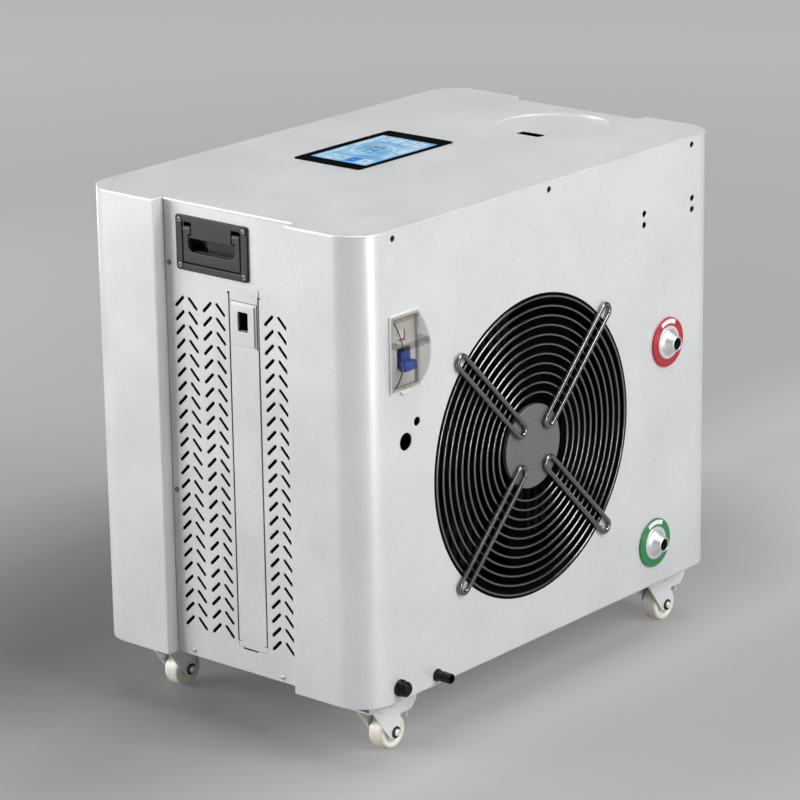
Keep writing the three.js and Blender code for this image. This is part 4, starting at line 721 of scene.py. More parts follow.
def makeTopCover():
    bm = bmesh.new()
    inset, wallX = topCover["displayInset"], rightEnd - recess
    # over the recessed ends the cover stands a little proud of the walls, with a hem under its edge
    plan = [Vector((p.x + math.copysign(topCover["proud"], p.x), p.y)) if abs(p.x) < wallX + 0.01 else p
            for p in wallPath(-1) + wallPath(1)[::-1]]
    loops = [plan, circleLoop(lidCentre, lidRadius + topCover["lidGap"], topCover["lidSides"]),
             roundedLoop((displayLow.x + inset, displayLow.y + inset), (displayHigh.x - inset, displayHigh.y - inset),
                         topCover["displayCorner"], 3, clockwise=True)]
    plate(bm, loops, underTop, topHigh.z, topCover["edge"], steps=4, lowEdge=topCover["footEdge"], holeEdge=topCover["holeEdge"])
    for side in (-1, 1):
        ends = sorted((side * (wallX + topCover["proud"] - topCover["hemEdge"]), side * (wallX + topCover["hemGap"])))
        block(bm, (ends[0], frontHigh.y + topCover["hemEnd"], underTop - topCover["hem"]),
              (ends[1], rearLow.y - topCover["hemEnd"], underTop + 0.1), topCover["hemEdge"])
    addPiece("topCover", bm, "cabinet_coat", "cabinet", ["top_cover"], smooth=40)


makeFrontPanel()
makeRearPanel()
makeTopCover()
print("cabinet ready")


def asWorld(bm, place):  # a mesh drawn elsewhere is set in place by a function on its vertices
    for v in bm.verts:
        v.co = Vector(place(v.co))
    return bm


# Geometry Nodes trees

# The share of a width that rounds its ends, just under a half, the steps and sides of round parts, and the welding distance
treeStyle = {"endShare": 0.499, "slotSteps": 5, "bendSteps": 10, "wireSides": 10, "rodSides": 14, "weld": 0.005}
# Edges rounded by a modifier: segments and least angle, and before it what counts as one point and what as flat
bevelStyle = {"segments": 2, "angle": 40, "weld": 0.002, "flat": 1}

def newTree(name, inputs):
    tree = bpy.data.node_groups.new(name, "GeometryNodeTree")
    tree.interface.new_socket("Geometry", in_out="INPUT", socket_type="NodeSocketGeometry")
    for label, value in inputs:
        socket = tree.interface.new_socket(label, in_out="INPUT", socket_type=socketKinds[type(value)])
        if value is not None:
            socket.default_value = value
    tree.interface.new_socket("Geometry", in_out="OUTPUT", socket_type="NodeSocketGeometry")
    return tree, addNode(tree, "NodeGroupInput").outputs


def joinGeometry(tree, *pieces):
    join = addNode(tree, "GeometryNodeJoinGeometry")
    for piece in pieces:
        tree.links.new(piece, join.inputs[0])
    return join.outputs[0]


def endTree(tree, geometry, material):
    real = nodeOut(tree, "GeometryNodeRealizeInstances", {0: geometry})
    dressed = nodeOut(tree, "GeometryNodeSetMaterial", {"Geometry": real, "Material": material})
    addNode(tree, "NodeGroupOutput", {0: dressed})


def splitLoosePoints(tree, geometry):  # loose vertices first, everything else second
    count = addNode(tree, "GeometryNodeInputMeshVertexNeighbors").outputs["Vertex Count"]
    loose = nodeOut(tree, "FunctionNodeCompare", {2: count, 3: 0}, data_type="INT", operation="EQUAL")
    split = addNode(tree, "GeometryNodeSeparateGeometry", {0: geometry, 1: loose}, domain="POINT").outputs
    return split[0], split[1]


def makeSlottedSheetTree():
    # given: outline and openings as closed edge loops in XY, and one loose vertex at the foot of each column
    tree, given = newTree("slottedSheet", [
        ("Thickness", 2.0), ("Slot Length", 20.0), ("Slot Width", 3.4), ("Lean", math.pi / 4), ("Half Spread", 11.0),
        ("Rows", 24), ("Row Pitch", 18.0), ("Material", None)])
    feet, outline = splitLoosePoints(tree, given["Geometry"])
    step = vectorOf(tree, y=given["Row Pitch"])
    column = nodeOut(tree, "GeometryNodeMeshLine", {"Count": given["Rows"], "Offset": step})
    grid = nodeOut(tree, "GeometryNodeInstanceOnPoints", {"Points": feet, "Instance": column})
    places = nodeOut(tree, "GeometryNodeRealizeInstances", {0: grid})
    quad = nodeOut(tree, "GeometryNodeCurvePrimitiveQuadrilateral",
                   {"Width": given["Slot Length"], "Height": given["Slot Width"]})
    end = calculate(tree, "MULTIPLY", given["Slot Width"], treeStyle["endShare"])
    slot = nodeOut(tree, "GeometryNodeFilletCurve", {"Curve": quad, "Radius": end, "Count": treeStyle["slotSteps"],
                                                     "Limit Radius": True}, mode="POLY")
    pair = []
    for side in (-1, 1):
        move = vectorOf(tree, x=calculate(tree, "MULTIPLY", given["Half Spread"], side))
        turn = vectorOf(tree, z=calculate(tree, "MULTIPLY", given["Lean"], -side))
        pair.append(nodeOut(tree, "GeometryNodeTransform", {"Geometry": slot, "Translation": move, "Rotation": turn}))
    placed = nodeOut(tree, "GeometryNodeInstanceOnPoints", {"Points": places, "Instance": joinGeometry(tree, *pair)})
    cuts = nodeOut(tree, "GeometryNodeRealizeInstances", {0: placed})
    rims = nodeOut(tree, "GeometryNodeMeshToCurve", {0: outline})
    filled = nodeOut(tree, "GeometryNodeFillCurve", {0: joinGeometry(tree, rims, cuts)})
    back = nodeOut(tree, "GeometryNodeFlipFaces", {0: filled})
    raised = nodeOut(tree, "GeometryNodeExtrudeMesh", {"Mesh": filled, "Offset Scale": given["Thickness"], "Individual": False},
                     mode="FACES")
    whole = addNode(tree, "GeometryNodeMergeByDistance", {
        "Geometry": joinGeometry(tree, raised, back), "Distance": treeStyle["weld"]})
    endTree(tree, whole.outputs[0], given["Material"])
    return tree


def makeRingGuardTree():  # concentric wire rings in XY and hairpin arms in front of them along +Z
    tree, given = newTree("ringGuard", [
        ("Ring Count", 11), ("First Radius", 70.3), ("Ring Pitch", 12.3), ("Wire", 1.7), ("Ring Steps", 144),
        ("Arm Count", 4), ("Arm Turn", math.pi / 4), ("Arm Inner", 29.0), ("Arm Outer", 216.0), ("Rod", 3.4),
        ("Rod Spacing", 17.0), ("Arm Lift", 3.5), ("Material", None)])
    index = nodeOut(tree, "GeometryNodeInputIndex")
    seeds = nodeOut(tree, "GeometryNodeMeshLine", {"Count": given["Ring Count"], "Offset": (0, 0, 0)})
    radius = calculate(tree, "MULTIPLY_ADD", index, given["Ring Pitch"], given["First Radius"])
    size = vectorOf(tree, radius, radius, radius)
    unit = nodeOut(tree, "GeometryNodeCurvePrimitiveCircle", {"Resolution": given["Ring Steps"], "Radius": 1.0})
    rings = nodeOut(tree, "GeometryNodeInstanceOnPoints", {"Points": seeds, "Instance": unit, "Scale": size})
    rings = nodeOut(tree, "GeometryNodeRealizeInstances", {0: rings})
    rings = nodeOut(tree, "GeometryNodeSetCurveRadius", {"Curve": rings, "Radius": 1.0})
    wire = nodeOut(tree, "GeometryNodeCurvePrimitiveCircle", {"Resolution": treeStyle["wireSides"], "Radius": given["Wire"]})
    ringMesh = nodeOut(tree, "GeometryNodeCurveToMesh", {"Curve": rings, "Profile Curve": wire})
    length = calculate(tree, "SUBTRACT", given["Arm Outer"], given["Arm Inner"])
    middle = calculate(tree, "MULTIPLY", calculate(tree, "ADD", given["Arm Outer"], given["Arm Inner"]), 0.5)
    loop = nodeOut(tree, "GeometryNodeCurvePrimitiveQuadrilateral", {"Width": length, "Height": given["Rod Spacing"]})
    bend = calculate(tree, "MULTIPLY", given["Rod Spacing"], treeStyle["endShare"])
    loop = nodeOut(tree, "GeometryNodeFilletCurve", {"Curve": loop, "Radius": bend, "Count": treeStyle["bendSteps"],
                                                     "Limit Radius": True}, mode="POLY")
    rod = nodeOut(tree, "GeometryNodeCurvePrimitiveCircle", {"Resolution": treeStyle["rodSides"], "Radius": given["Rod"]})
    arm = nodeOut(tree, "GeometryNodeCurveToMesh", {"Curve": loop, "Profile Curve": rod})
    move = vectorOf(tree, x=middle, z=given["Arm Lift"])
    arm = nodeOut(tree, "GeometryNodeTransform", {"Geometry": arm, "Translation": move})
    stations = nodeOut(tree, "GeometryNodeMeshLine", {"Count": given["Arm Count"], "Offset": (0, 0, 0)})
    share = calculate(tree, "DIVIDE", math.tau, given["Arm Count"])
    angle = calculate(tree, "MULTIPLY_ADD", index, share, given["Arm Turn"])
    turn = vectorOf(tree, z=angle)
    arms = nodeOut(tree, "GeometryNodeInstanceOnPoints", {"Points": stations, "Instance": arm, "Rotation": turn})
    endTree(tree, joinGeometry(tree, ringMesh, arms), given["Material"])
    return tree


def makeCopiesTree():  # copies of the drawn form at every loose vertex, each turned about an axis by a seeded angle
    tree, given = newTree("placedCopies", [
        ("Axis", (0, 1, 0)), ("Least Turn", 0.0), ("Most Turn", 0.0), ("Seed", 1), ("Material", None)])
    places, form = splitLoosePoints(tree, given["Geometry"])
    chance = addNode(tree, "FunctionNodeRandomValue", {2: given["Least Turn"], 3: given["Most Turn"], "Seed": given["Seed"]},
                     data_type="FLOAT").outputs[1]
    turn = nodeOut(tree, "FunctionNodeAxisAngleToRotation", {"Axis": given["Axis"], "Angle": chance})
    copies = nodeOut(tree, "GeometryNodeInstanceOnPoints", {"Points": places, "Instance": form, "Rotation": turn})
    endTree(tree, copies, given["Material"])
    return tree


def makeTurnsTree():  # copies of the drawn form turned evenly about an axis through the origin
    tree, given = newTree("turnedCopies", [("Axis", (0, 1, 0)), ("Count", 5), ("First Turn", 0.0), ("Material", None)])
    stations = nodeOut(tree, "GeometryNodeMeshLine", {"Count": given["Count"], "Offset": (0, 0, 0)})
    index = nodeOut(tree, "GeometryNodeInputIndex")
    angle = calculate(tree, "MULTIPLY_ADD", index, calculate(tree, "DIVIDE", math.tau, given["Count"]), given["First Turn"])
    turn = nodeOut(tree, "FunctionNodeAxisAngleToRotation", {"Axis": given["Axis"], "Angle": angle})
    copies = nodeOut(tree, "GeometryNodeInstanceOnPoints",
                     {"Points": stations, "Instance": given["Geometry"], "Rotation": turn})
    endTree(tree, copies, given["Material"])
    return tree


slottedSheet, ringGuard = makeSlottedSheetTree(), makeRingGuardTree()
placedCopies, turnedCopies = makeCopiesTree(), makeTurnsTree()


def reworked(bm, dress):  # the drawn mesh after the modifiers that dress puts on it
    mesh = bpy.data.meshes.new("drawing")
    bm.to_mesh(mesh)
    bm.free()
    obj = newObject("drawing", mesh)
    dress(obj)
    bake(obj)
    made = bmesh.new()
    made.from_mesh(obj.data)
    mesh = obj.data
    bpy.data.objects.remove(obj)
    bpy.data.meshes.remove(mesh)
    return made


def addBevel(obj, width):
    bevel = obj.modifiers.new("edges", "BEVEL")
    bevel.width = width
    bevel.segments = bevelStyle["segments"]
    bevel.limit_method = "ANGLE"
    bevel.angle_limit = math.radians(bevelStyle["angle"])
    bevel.harden_normals = False
    bevel.use_clamp_overlap = True


def grow(bm, tree, values, bevel=0.0):  # the drawn mesh run through a tree, and through a bevel if asked
    def dress(obj):
        modifier = obj.modifiers.new("tree", "NODES")
        modifier.node_group = tree
        for item in tree.interface.items_tree:
            if item.in_out == "INPUT" and item.name in values:
                modifier[item.identifier] = values[item.name]
        if bevel:
            addBevel(obj, bevel)

    return reworked(bm, dress)


def softened(bm, width):  # the drawn mesh with its sharp edges rounded
    bmesh.ops.remove_doubles(bm, verts=bm.verts, dist=bevelStyle["weld"])
    bmesh.ops.dissolve_limit(bm, angle_limit=math.radians(bevelStyle["flat"]), verts=bm.verts, edges=bm.edges)
    return reworked(bm, lambda obj: addBevel(obj, width))


def addEdges(bm, loops):  # closed loops of edges in the drawing plane
    for loop in loops:
        verts = [bm.verts.new((p.x, p.y, 0)) for p in loop]
        for i in range(len(verts)):
            bm.edges.new((verts[i - 1], verts[i]))


def copiesAt(form, places, axis, turns, seed, material):  # a drawn form copied at places in millimetres
    for place in places:
        form.verts.new(place)
    return grow(form, placedCopies, {"Axis": axis, "Least Turn": turns[0], "Most Turn": turns[1], "Seed": seed,
                                     "Material": materials[material]})


print("trees ready")


# End walls

louvres = {"sheet": 1.0, "length": 20.6, "width": 4.3, "lean": 45, "halfSpread": 11.1, "rows": 24, "lowest": 132.9, "pitch": 18.37,
           "edge": 0.2, "columns": {-1: (-64.2, 37.8, 84.3), 1: (-64.2, 84.3)}, "trayInset": (11.5, 7.3), "trayCorner": 2}
coverLow, coverHigh = boxOf("service_cover")
trayLow, trayHigh = boxOf("handle_tray_left")
# The cover: gaps round it, the narrow part at its foot with the slit and the ticks, its upper tab, and its hook
coverStyle = {"edge": 0.5, "side": 2.0, "foot": 9.0, "head": 7.6, "ear": 2.2, "tight": 0.4, "tightHeight": 7.6,
              "slitDrop": 1.8, "slit": (-20.9, 3.8), "tickLength": 4.2, "tickHeight": 0.9, "headGap": 1.0, "underTab": 3.0,
              "holeLow": (-1.9, -0.3), "holeHigh": (0.3, 0.4), "tabSpread": 1.8, "tabFoot": 1.4, "tabRise": 2.3, "tabCorner": 1.5,
              "tabDepth": (-0.9, 0.3), "tabEdge": 0.25, "hookBehind": 2.1, "hookHalf": 15, "hookRise": 6, "hookEdge": 0.4}


def coverOpening():  # the wall's opening closes up round the cover's foot, down to the slit in which its hook sits
    gap, (slitFrom, slitTo) = coverStyle["side"], coverStyle["slit"]
    middle, half = (coverLow.y + coverHigh.y) / 2, (coverHigh.y - coverLow.y) / 2
    wide, close = half + gap, half + coverStyle["tight"]
    sill = coverLow.z + coverStyle["foot"] + gap - coverStyle["tight"]
    slit = sill - coverStyle["slitDrop"]
    waist = coverLow.z + coverStyle["foot"] + gap + coverStyle["tightHeight"]
    head, ear = coverHigh.z - coverStyle["head"], coverStyle["ear"]
    return loopOf((middle - wide, waist), (middle - close, waist), (middle - close, sill), (slitFrom, sill), (slitFrom, slit),
                  (slitTo, slit), (slitTo, sill), (middle + close, sill), (middle + close, waist), (middle + wide, waist),
                  (middle + wide, head - ear), (middle + wide + ear, head - ear), (middle + wide + ear, head),
                  (middle - wide - ear, head), (middle - wide - ear, head - ear), (middle - wide, head - ear))


def makeEndWall(name, node, side):
    low, high = boxOf(node)
    inset = Vector(louvres["trayInset"])
    tray = roundedLoop(Vector((trayLow.y, trayLow.z)) + inset, Vector((trayHigh.y, trayHigh.z)) - inset, louvres["trayCorner"], 3)
    loops = [rectangle((low.y, low.z), (high.y, high.z)), tray]
    if side < 0:
        loops.append(coverOpening())
    bm = bmesh.new()
    addEdges(bm, loops)
    for y in louvres["columns"][side]:
        bm.verts.new((y, louvres["lowest"], 0))
    bm = grow(bm, slottedSheet, {
        "Thickness": louvres["sheet"], "Slot Length": louvres["length"], "Slot Width": louvres["width"],
        "Lean": math.radians(louvres["lean"]), "Half Spread": louvres["halfSpread"], "Rows": louvres["rows"],
        "Row Pitch": louvres["pitch"], "Material": materials["cabinet_coat"]}, bevel=louvres["edge"])
    # the drawing plane is (y, z) and its height runs outwards from the inner face
    inner = (low.x if side < 0 else high.x) - side * louvres["sheet"]
    asWorld(bm, lambda p: (inner + side * p.z, p.x, p.y))
    addPiece(name, bm, "cabinet_coat", "cabinet", [node], smooth=30)


shadeSheet = {"inset": 7.0, "belowTray": 5.0, "depth": 8.6, "rim": 6.0, "frame": (0.0, 2.4), "shadeLayer": (0.8, 1.4),
              "shadeLayerInset": 0.6, "edge": 0.1, "coverGap": 4.0, "coverRoom": 62.0}


def makeShadeSheet(name, node, side):  # a black sheet in a thin frame behind the louvres: painted shade, standing for the dark inside seen through the slots
    low, high = boxOf(node)
    inset, depth = shadeSheet["inset"], shadeSheet["depth"]
    loop = rectangle((low.y + inset, low.z + inset), (high.y - inset, trayLow.z - shadeSheet["belowTray"]))
    if side < 0:  # the service cover's foot swings in here
        gap = shadeSheet["coverGap"]
        loop[1:1] = rectangle((coverLow.y - gap, low.z + inset), (coverHigh.y + gap, coverLow.z + shadeSheet["coverRoom"]),
                              clockwise=True)
    bm = bmesh.new()
    for loops, (near, far) in (([offsetLoop(loop, shadeSheet["shadeLayerInset"])], shadeSheet["shadeLayer"]),
                               ([loop, offsetLoop(loop, shadeSheet["rim"])[::-1]], shadeSheet["frame"])):
        plate(bm, loops, depth + near, depth + far, shadeSheet["edge"], place=onEnd(low.x if side < 0 else high.x, -side))
    addPiece(name, bm, "fan_black", "cabinet", smooth=30)


def makeServiceCover():  # a strip in the wall's opening, an upper tab that lies on the wall, and a hook behind the wall
    wallX = boxOf("left_panel")[0].x
    pullLow, pullHigh = boxOf("cover_pull")
    foot = coverLow.z + coverStyle["foot"] + coverStyle["side"]
    head = coverHigh.z - coverStyle["head"] - coverStyle["headGap"]
    left, right, top = coverLow.y, coverHigh.y, head + coverStyle["underTab"]
    tick, above = coverStyle["tickLength"], foot + coverStyle["tightHeight"]
    over = above + coverStyle["tickHeight"]
    outline = loopOf((left, foot), (right, foot), (right, above), (right - tick, above), (right - tick, over), (right, over),
                     (right, top), (left, top), (left, over), (left + tick, over), (left + tick, above), (left, above))
    # the hole is wider than the pull along its front edge, and a black sheet behind the pull shows there: painted shade
    # in the gap
    (y0, z0), (y1, z1) = coverStyle["holeLow"], coverStyle["holeHigh"]
    hole = roundedLoop((pullLow.y + y0, pullLow.z + z0), (pullHigh.y + y1, pullHigh.z - pull["topDrop"] + z1), 1, 2, clockwise=True)
    bm = bmesh.new()
    plate(bm, [outline, hole], 0, cabinet["sheet"], coverStyle["edge"], place=onEnd(wallX, 1))
    tab = roundedLoop((left - coverStyle["tabSpread"], head + coverStyle["tabFoot"]),
                      (right + coverStyle["tabSpread"], coverHigh.z + coverStyle["tabRise"]), coverStyle["tabCorner"], 3)
    plate(bm, [tab], *coverStyle["tabDepth"], coverStyle["tabEdge"], place=onEnd(wallX, 1))
    addPiece("serviceStrip", bm, "cabinet_coat", "service_cover", ["service_cover"], smooth=30)
    middle, half = (left + right) / 2, coverStyle["hookHalf"]
    bm = bmesh.new()
    block(bm, (wallX + coverStyle["hookBehind"], middle - half, coverLow.z),
          (coverHigh.x, middle + half, foot + coverStyle["hookRise"]), coverStyle["hookEdge"])
    addPiece("serviceHook", bm, "rubber_black", "service_cover", smooth=30)


pull = {"topDrop": 4.0, "corner": 1.2, "plate": (0.3, 1.6), "plateEdge": 0.4, "rim": 2.6, "field": (-1.5, 0.8), "fieldEdge": 0.5,
        "hole": (16.5, 25.0), "holeFoot": 20.4, "lipRadius": 3.2, "lipWall": 1.0, "lipTurn": 160, "lipSteps": 8, "lipInset": 0.6,
        "lipBehind": 1.0, "backingLow": (-4.2, -4.0), "backingHigh": (3.0, 3.0), "backingGap": 0.1,
        "backingSheet": 0.9, "backingEdge": 0.2}


def makeCoverPull():  # a stamped finger pull: base plate, raised field, and a lip curled in below the hole
    low, high = boxOf("cover_pull")
    high.z -= pull["topDrop"]
    middle, rim, corner = (low.y + high.y) / 2, pull["rim"], pull["corner"]
    (width, height), foot = pull["hole"], low.z + pull["holeFoot"]
    hole = roundedLoop((middle - width / 2, foot), (middle + width / 2, foot + height), corner, 3, clockwise=True)
    bm = bmesh.new()
    base = roundedLoop((low.y, low.z), (high.y, high.z), corner, 3)
    plate(bm, [base, hole], *pull["plate"], pull["plateEdge"], place=onEnd(low.x, 1))
    field = roundedLoop((low.y + rim, low.z + rim), (high.y - rim, high.z - rim), 1, 3)
    plate(bm, [field, hole], *pull["field"], pull["fieldEdge"], place=onEnd(low.x, 1))
    # the lip: a strip bent through nearly a half turn about an axis behind the hole's foot
    radius, inset, centre = pull["lipRadius"], pull["lipInset"], foot - pull["lipRadius"] + pull["lipInset"]
    arcs = [arc((centre, low.x + pull["lipBehind"] + radius), reach, -90, pull["lipTurn"] - 90, pull["lipSteps"])
            for reach in (radius, radius - pull["lipWall"])]
    ends = [[bm.verts.new((p.y, y, p.x)) for p in arcs[0] + arcs[1][::-1]]
            for y in (middle - width / 2 + inset, middle + width / 2 - inset)]
    joinRings(bm, ends, closed=False)
    for end in ends:
        bm.faces.new(end)
    addPiece("coverPull", bm, "cabinet_coat", "service_cover", ["cover_pull"], smooth=30)
    # a black sheet behind the pull: painted shade in the gap round it
    bm = bmesh.new()
    (y0, z0), (y1, z1) = pull["backingLow"], pull["backingHigh"]
    backing = roundedLoop((low.y + y0, low.z + z0), (high.y + y1, high.z + z1), 2, 3)
    plate(bm, [backing, hole], 0, pull["backingSheet"], pull["backingEdge"],
          place=onEnd(coverLow.x + cabinet["sheet"] + pull["backingGap"], 1))
    addPiece("coverPullShade", bm, "rubber_black", "service_cover", smooth=30)


# painted shade behind the louvres of both end walls
makeShadeSheet("shadeSheetLeft", "left_panel", -1)
makeShadeSheet("shadeSheetRight", "right_panel", 1)
makeEndWall("leftWall", "left_panel", -1)
makeEndWall("rightWall", "right_panel", 1)
makeServiceCover()
makeCoverPull()


# Folding handles

handleStyle = {
    "plateEdge": 0.9, "cornerRadius": 4.0, "armWidth": 8.5, "barWidth": 14.0, "innerRadius": 9.0, "outerRadius": 2.5,
    # clearances round the bail, and the ears on its arms
    "bailGap": 1.9, "notch": 3.0, "tongueGap": 1.2, "tongueRise": 7.25, "armDrop": 3.6, "ear": 4.0, "earHeight": 9.5, "earGap": 1.0,
    # the pocket behind the bail: its walls, its shelf, and the notches for the ears
    "pocketOut": 1.5, "pocketIn": 0.1, "pocketDepth": (-4.0, 0.6), "pocketEdge": 0.2, "shelf": (-5.2, -3.3), "shelfEdge": 0.4,
    "shelfCorner": 2, "notchInset": 0.6, "notchFoot": 1.2,
    # the finger cup: its slope, and the deeper end that starts at a share of its width and is reached over another
    "cupGap": 0.8, "cupHead": 1.4, "cupWall": 1.1, "cupSteps": 20, "cupSlope": 3.6, "cupDeep": 12.0,
    "deepFrom": 0.62, "deepOver": 0.2,
    "knuckle": 2.9, "knuckleInset": 0.3, "knuckleOut": 0.7, "knuckleUp": 1.1,
    "screwInset": 6.4, "headRadius": 3.5, "shadeRingRadius": 5.1, "shadeRingRise": 0.12, "shadeRingDepth": 0.5, "shadeRingOverlap": 0.3,
}


def thickened(bm, wall, eye):  # a drawn shell, which faces the point eye, with a wall behind it
    bmesh.ops.remove_doubles(bm, verts=bm.verts, dist=0.002)
    bmesh.ops.recalc_face_normals(bm, faces=bm.faces)
    side = sum((Vector(eye) - face.calc_center_median()).dot(face.normal) * face.calc_area() for face in bm.faces)
    if side < 0:
        bmesh.ops.reverse_faces(bm, faces=bm.faces)

    def dress(obj):
        solid = obj.modifiers.new("wall", "SOLIDIFY")
        solid.thickness = wall
        solid.offset = -1
        solid.use_even_offset = True

    return reworked(bm, dress)


def fingerCup(place, left, right, foot, head, drop):  # a shell that slopes in below the tongue, with its ends and its floor
    shell = bmesh.new()
    slope, count, columns = handleStyle["cupSlope"], handleStyle["cupSteps"], []
    for i in range(count + 1):
        share = i / count
        deep = min(max((share - handleStyle["deepFrom"]) / handleStyle["deepOver"], 0), 1)
        deep = deep * deep * (3 - 2 * deep) * handleStyle["cupDeep"]
        profile = [(head + 2.0, -0.4), (head - 0.6, -0.8), (head - 2.4, -1.6 - deep), (0.5 * (head + foot), -0.5 * slope - deep),
                   (foot + 3.0, -slope - deep), (foot, -min(slope + 1.2 + deep, drop))]
        columns.append([shell.verts.new(place(left + share * (right - left), z, w)) for z, w in profile])
    for a, b in zip(columns, columns[1:]):
        for i in range(len(a) - 1):
            shell.faces.new((a[i], a[i + 1], b[i + 1], b[i]))
    foots, heads = ([shell.verts.new(place(left + i / count * (right - left), z, w)) for i in range(count + 1)]
                    for z, w in ((foot, -3.6), (head - 1.0, -0.3)))
    for i in range(count):
        shell.faces.new((columns[i][-1], columns[i + 1][-1], foots[i + 1], foots[i]))
    for i in (0, count):
        shell.faces.new([*columns[i], foots[i], heads[i]])
    return thickened(shell, handleStyle["cupWall"], place((left + right) / 2, foot + 4, 6.0))


def makeHandle(end, side):  # a plate with a tongue between the bail's arms, a shelf under the bail, and a finger cup
    low, high = boxOf("handle_tray_" + end)
    bailLow, bailHigh = boxOf("handle_bail_" + end)
    outer, deep = (low.x, high.x) if side < 0 else (high.x, low.x)
    wall = side * boxOf("right_panel")[1].x
    place, name = onEnd(wall, side), end.capitalize()
    gap, arm, ear = handleStyle["bailGap"], handleStyle["armWidth"], handleStyle["ear"]
    left, right, foot, head = bailLow.y - gap, bailHigh.y + gap, bailLow.z - gap, bailHigh.z + handleStyle["notch"]
    tongueLeft, tongueRight = bailLow.y + arm + handleStyle["tongueGap"], bailHigh.y - arm - handleStyle["tongueGap"]
    tongueFoot = (low.z + high.z) / 2 + handleStyle["tongueRise"]
    top = bailHigh.z - handleStyle["armDrop"]
    earFoot = top - handleStyle["earHeight"] - handleStyle["earGap"]
    bm = bmesh.new()
    outline = roundedLoop((low.y, low.z), (high.y, high.z), handleStyle["cornerRadius"], 6)
    opening = loopOf((left, foot), (left, head), (tongueLeft + ear, head), (tongueLeft + ear, earFoot), (tongueLeft, earFoot),
                     (tongueLeft, tongueFoot), (tongueRight, tongueFoot), (tongueRight, earFoot), (tongueRight - ear, earFoot),
                     (tongueRight - ear, head), (right, head), (right, foot))
    plate(bm, [outline, opening], 0.0, abs(outer - wall), handleStyle["plateEdge"], place=place)
    # shelf under the bail, open where the cup goes in, and the pocket's walls
    cupFoot = bailLow.z + handleStyle["barWidth"] + handleStyle["cupGap"]
    cup = rectangle((tongueLeft, cupFoot), (tongueRight, tongueFoot + handleStyle["cupHead"]), clockwise=True)
    inset = handleStyle["notchInset"]
    notches = [rectangle((y0, earFoot + handleStyle["notchFoot"]), (y1, head - inset), clockwise=True)
               for y0, y1 in ((left + inset, tongueLeft + ear), (tongueRight - ear, right - inset))]
    more, less = handleStyle["pocketOut"], handleStyle["pocketIn"]
    shelf = roundedLoop((left - more, foot - more), (right + more, head + more), handleStyle["shelfCorner"], 3)
    plate(bm, [shelf, cup] + notches, *handleStyle["shelf"], handleStyle["shelfEdge"], place=place)
    ends = sorted(wall + side * depth for depth in handleStyle["pocketDepth"])
    for y0, z0, y1, z1 in ((left - more, foot - more, left - less, head + more),
                           (right + less, foot - more, right + more, head + more),
                           (left - more, foot - more, right + more, foot - less),
                           (left - more, head + less, right + more, head + more)):
        block(bm, (ends[0], y0, z0), (ends[1], y1, z1), handleStyle["pocketEdge"])
    drop = abs(deep - wall) - handleStyle["cupWall"] - 0.6
    copyInto(bm, fingerCup(place, tongueLeft, tongueRight, cupFoot, tongueFoot, drop))
    addPiece("handlePlate" + name, bm, "handle_grey", "cabinet", ["handle_tray_" + end], smooth=35)
    # bail: a U with a broad bar, its inner corners rounded, and ears at its arms' tops
    inner, outside = handleStyle["innerRadius"], handleStyle["outerRadius"]
    armLeft, armRight, barTop = bailLow.y + arm, bailHigh.y - arm, bailLow.z + handleStyle["barWidth"]
    earLow = earFoot + handleStyle["earGap"]
    loop = loopOf((armLeft, earLow), (armLeft + ear, earLow), (armLeft + ear, top), (bailLow.y, top))
    loop += arc((bailLow.y + outside, bailLow.z + outside), outside, 180, 270, 3)
    loop += arc((bailHigh.y - outside, bailLow.z + outside), outside, 270, 360, 3)
    loop += loopOf((bailHigh.y, top), (armRight - ear, top), (armRight - ear, earLow), (armRight, earLow))
    loop += arc((armRight - inner, barTop + inner), inner, 0, -90, 4) + arc((armLeft + inner, barTop + inner), inner, -90, -180, 4)
    thickness = sorted(side * (x - wall) for x in (bailLow.x, bailHigh.x))
    bm = bmesh.new()
    plate(bm, [loop], *thickness, handleStyle["plateEdge"], place=place)
    addPiece("handleBail" + name, bm, "handle_grey", "bail_" + end, ["handle_bail_" + end], smooth=35)
    # hinge knuckles on the arms' tops, in a lighter grey than the bail with scuffs: the lighter grey is a painted
    # highlight along the arms' top edges
    bm = bmesh.new()
    radius, short = handleStyle["knuckle"], handleStyle["knuckleInset"]
    axis = wall + side * (thickness[1] - radius + handleStyle["knuckleOut"]), 0, top - radius + handleStyle["knuckleUp"]
    for y0, y1 in ((bailLow.y + short, armLeft + ear - short), (armRight - ear + short, bailHigh.y - short)):
        turned(bm, filleted([(0, y0), (radius, y0), (radius, y1), (0, y1)], 0.5, 2), axis, steps=28)
    addPiece("handleKnuckles" + name, bm, "knuckle_grey", "bail_" + end, smooth=35)
    # screws at the plate's corners, each ringed in black: painted shade round the head
    inset, shadeRing, rise, depth = (handleStyle[key] for key in ("screwInset", "shadeRingRadius", "shadeRingRise", "shadeRingDepth"))
    places = [(outer, y, z) for y in (low.y + inset, high.y - inset) for z in (low.z + inset, high.z - inset)]
    bore = handleStyle["headRadius"] - handleStyle["shadeRingOverlap"]
    bm = bmesh.new()
    for spot in places:
        turned(bm, [(bore, -depth), (bore, rise), (shadeRing, rise), (shadeRing, -depth), (bore, -depth)], spot, axis="x", steps=28)
    addPiece("handleScrewShade" + name, bm, "screw_black", "cabinet", smooth=35)
    screws("handleScrews" + name, places, (side, 0, 0), handleStyle["headRadius"], 3, "screw_grey")


# A screw's head: shares of its radius and rise, the rest in millimetres
screwHead = {"socket": 0.5, "depth": 1.4, "rise": 0.35, "shoulder": (0.82, 0.9), "rim": (0.97, 0.35), "rimDrop": 0.3, "lip": 0.2,
             "lipDrop": 0.25, "floor": 0.3, "floorShare": 0.99, "sides": 24, "fillet": 0.2}


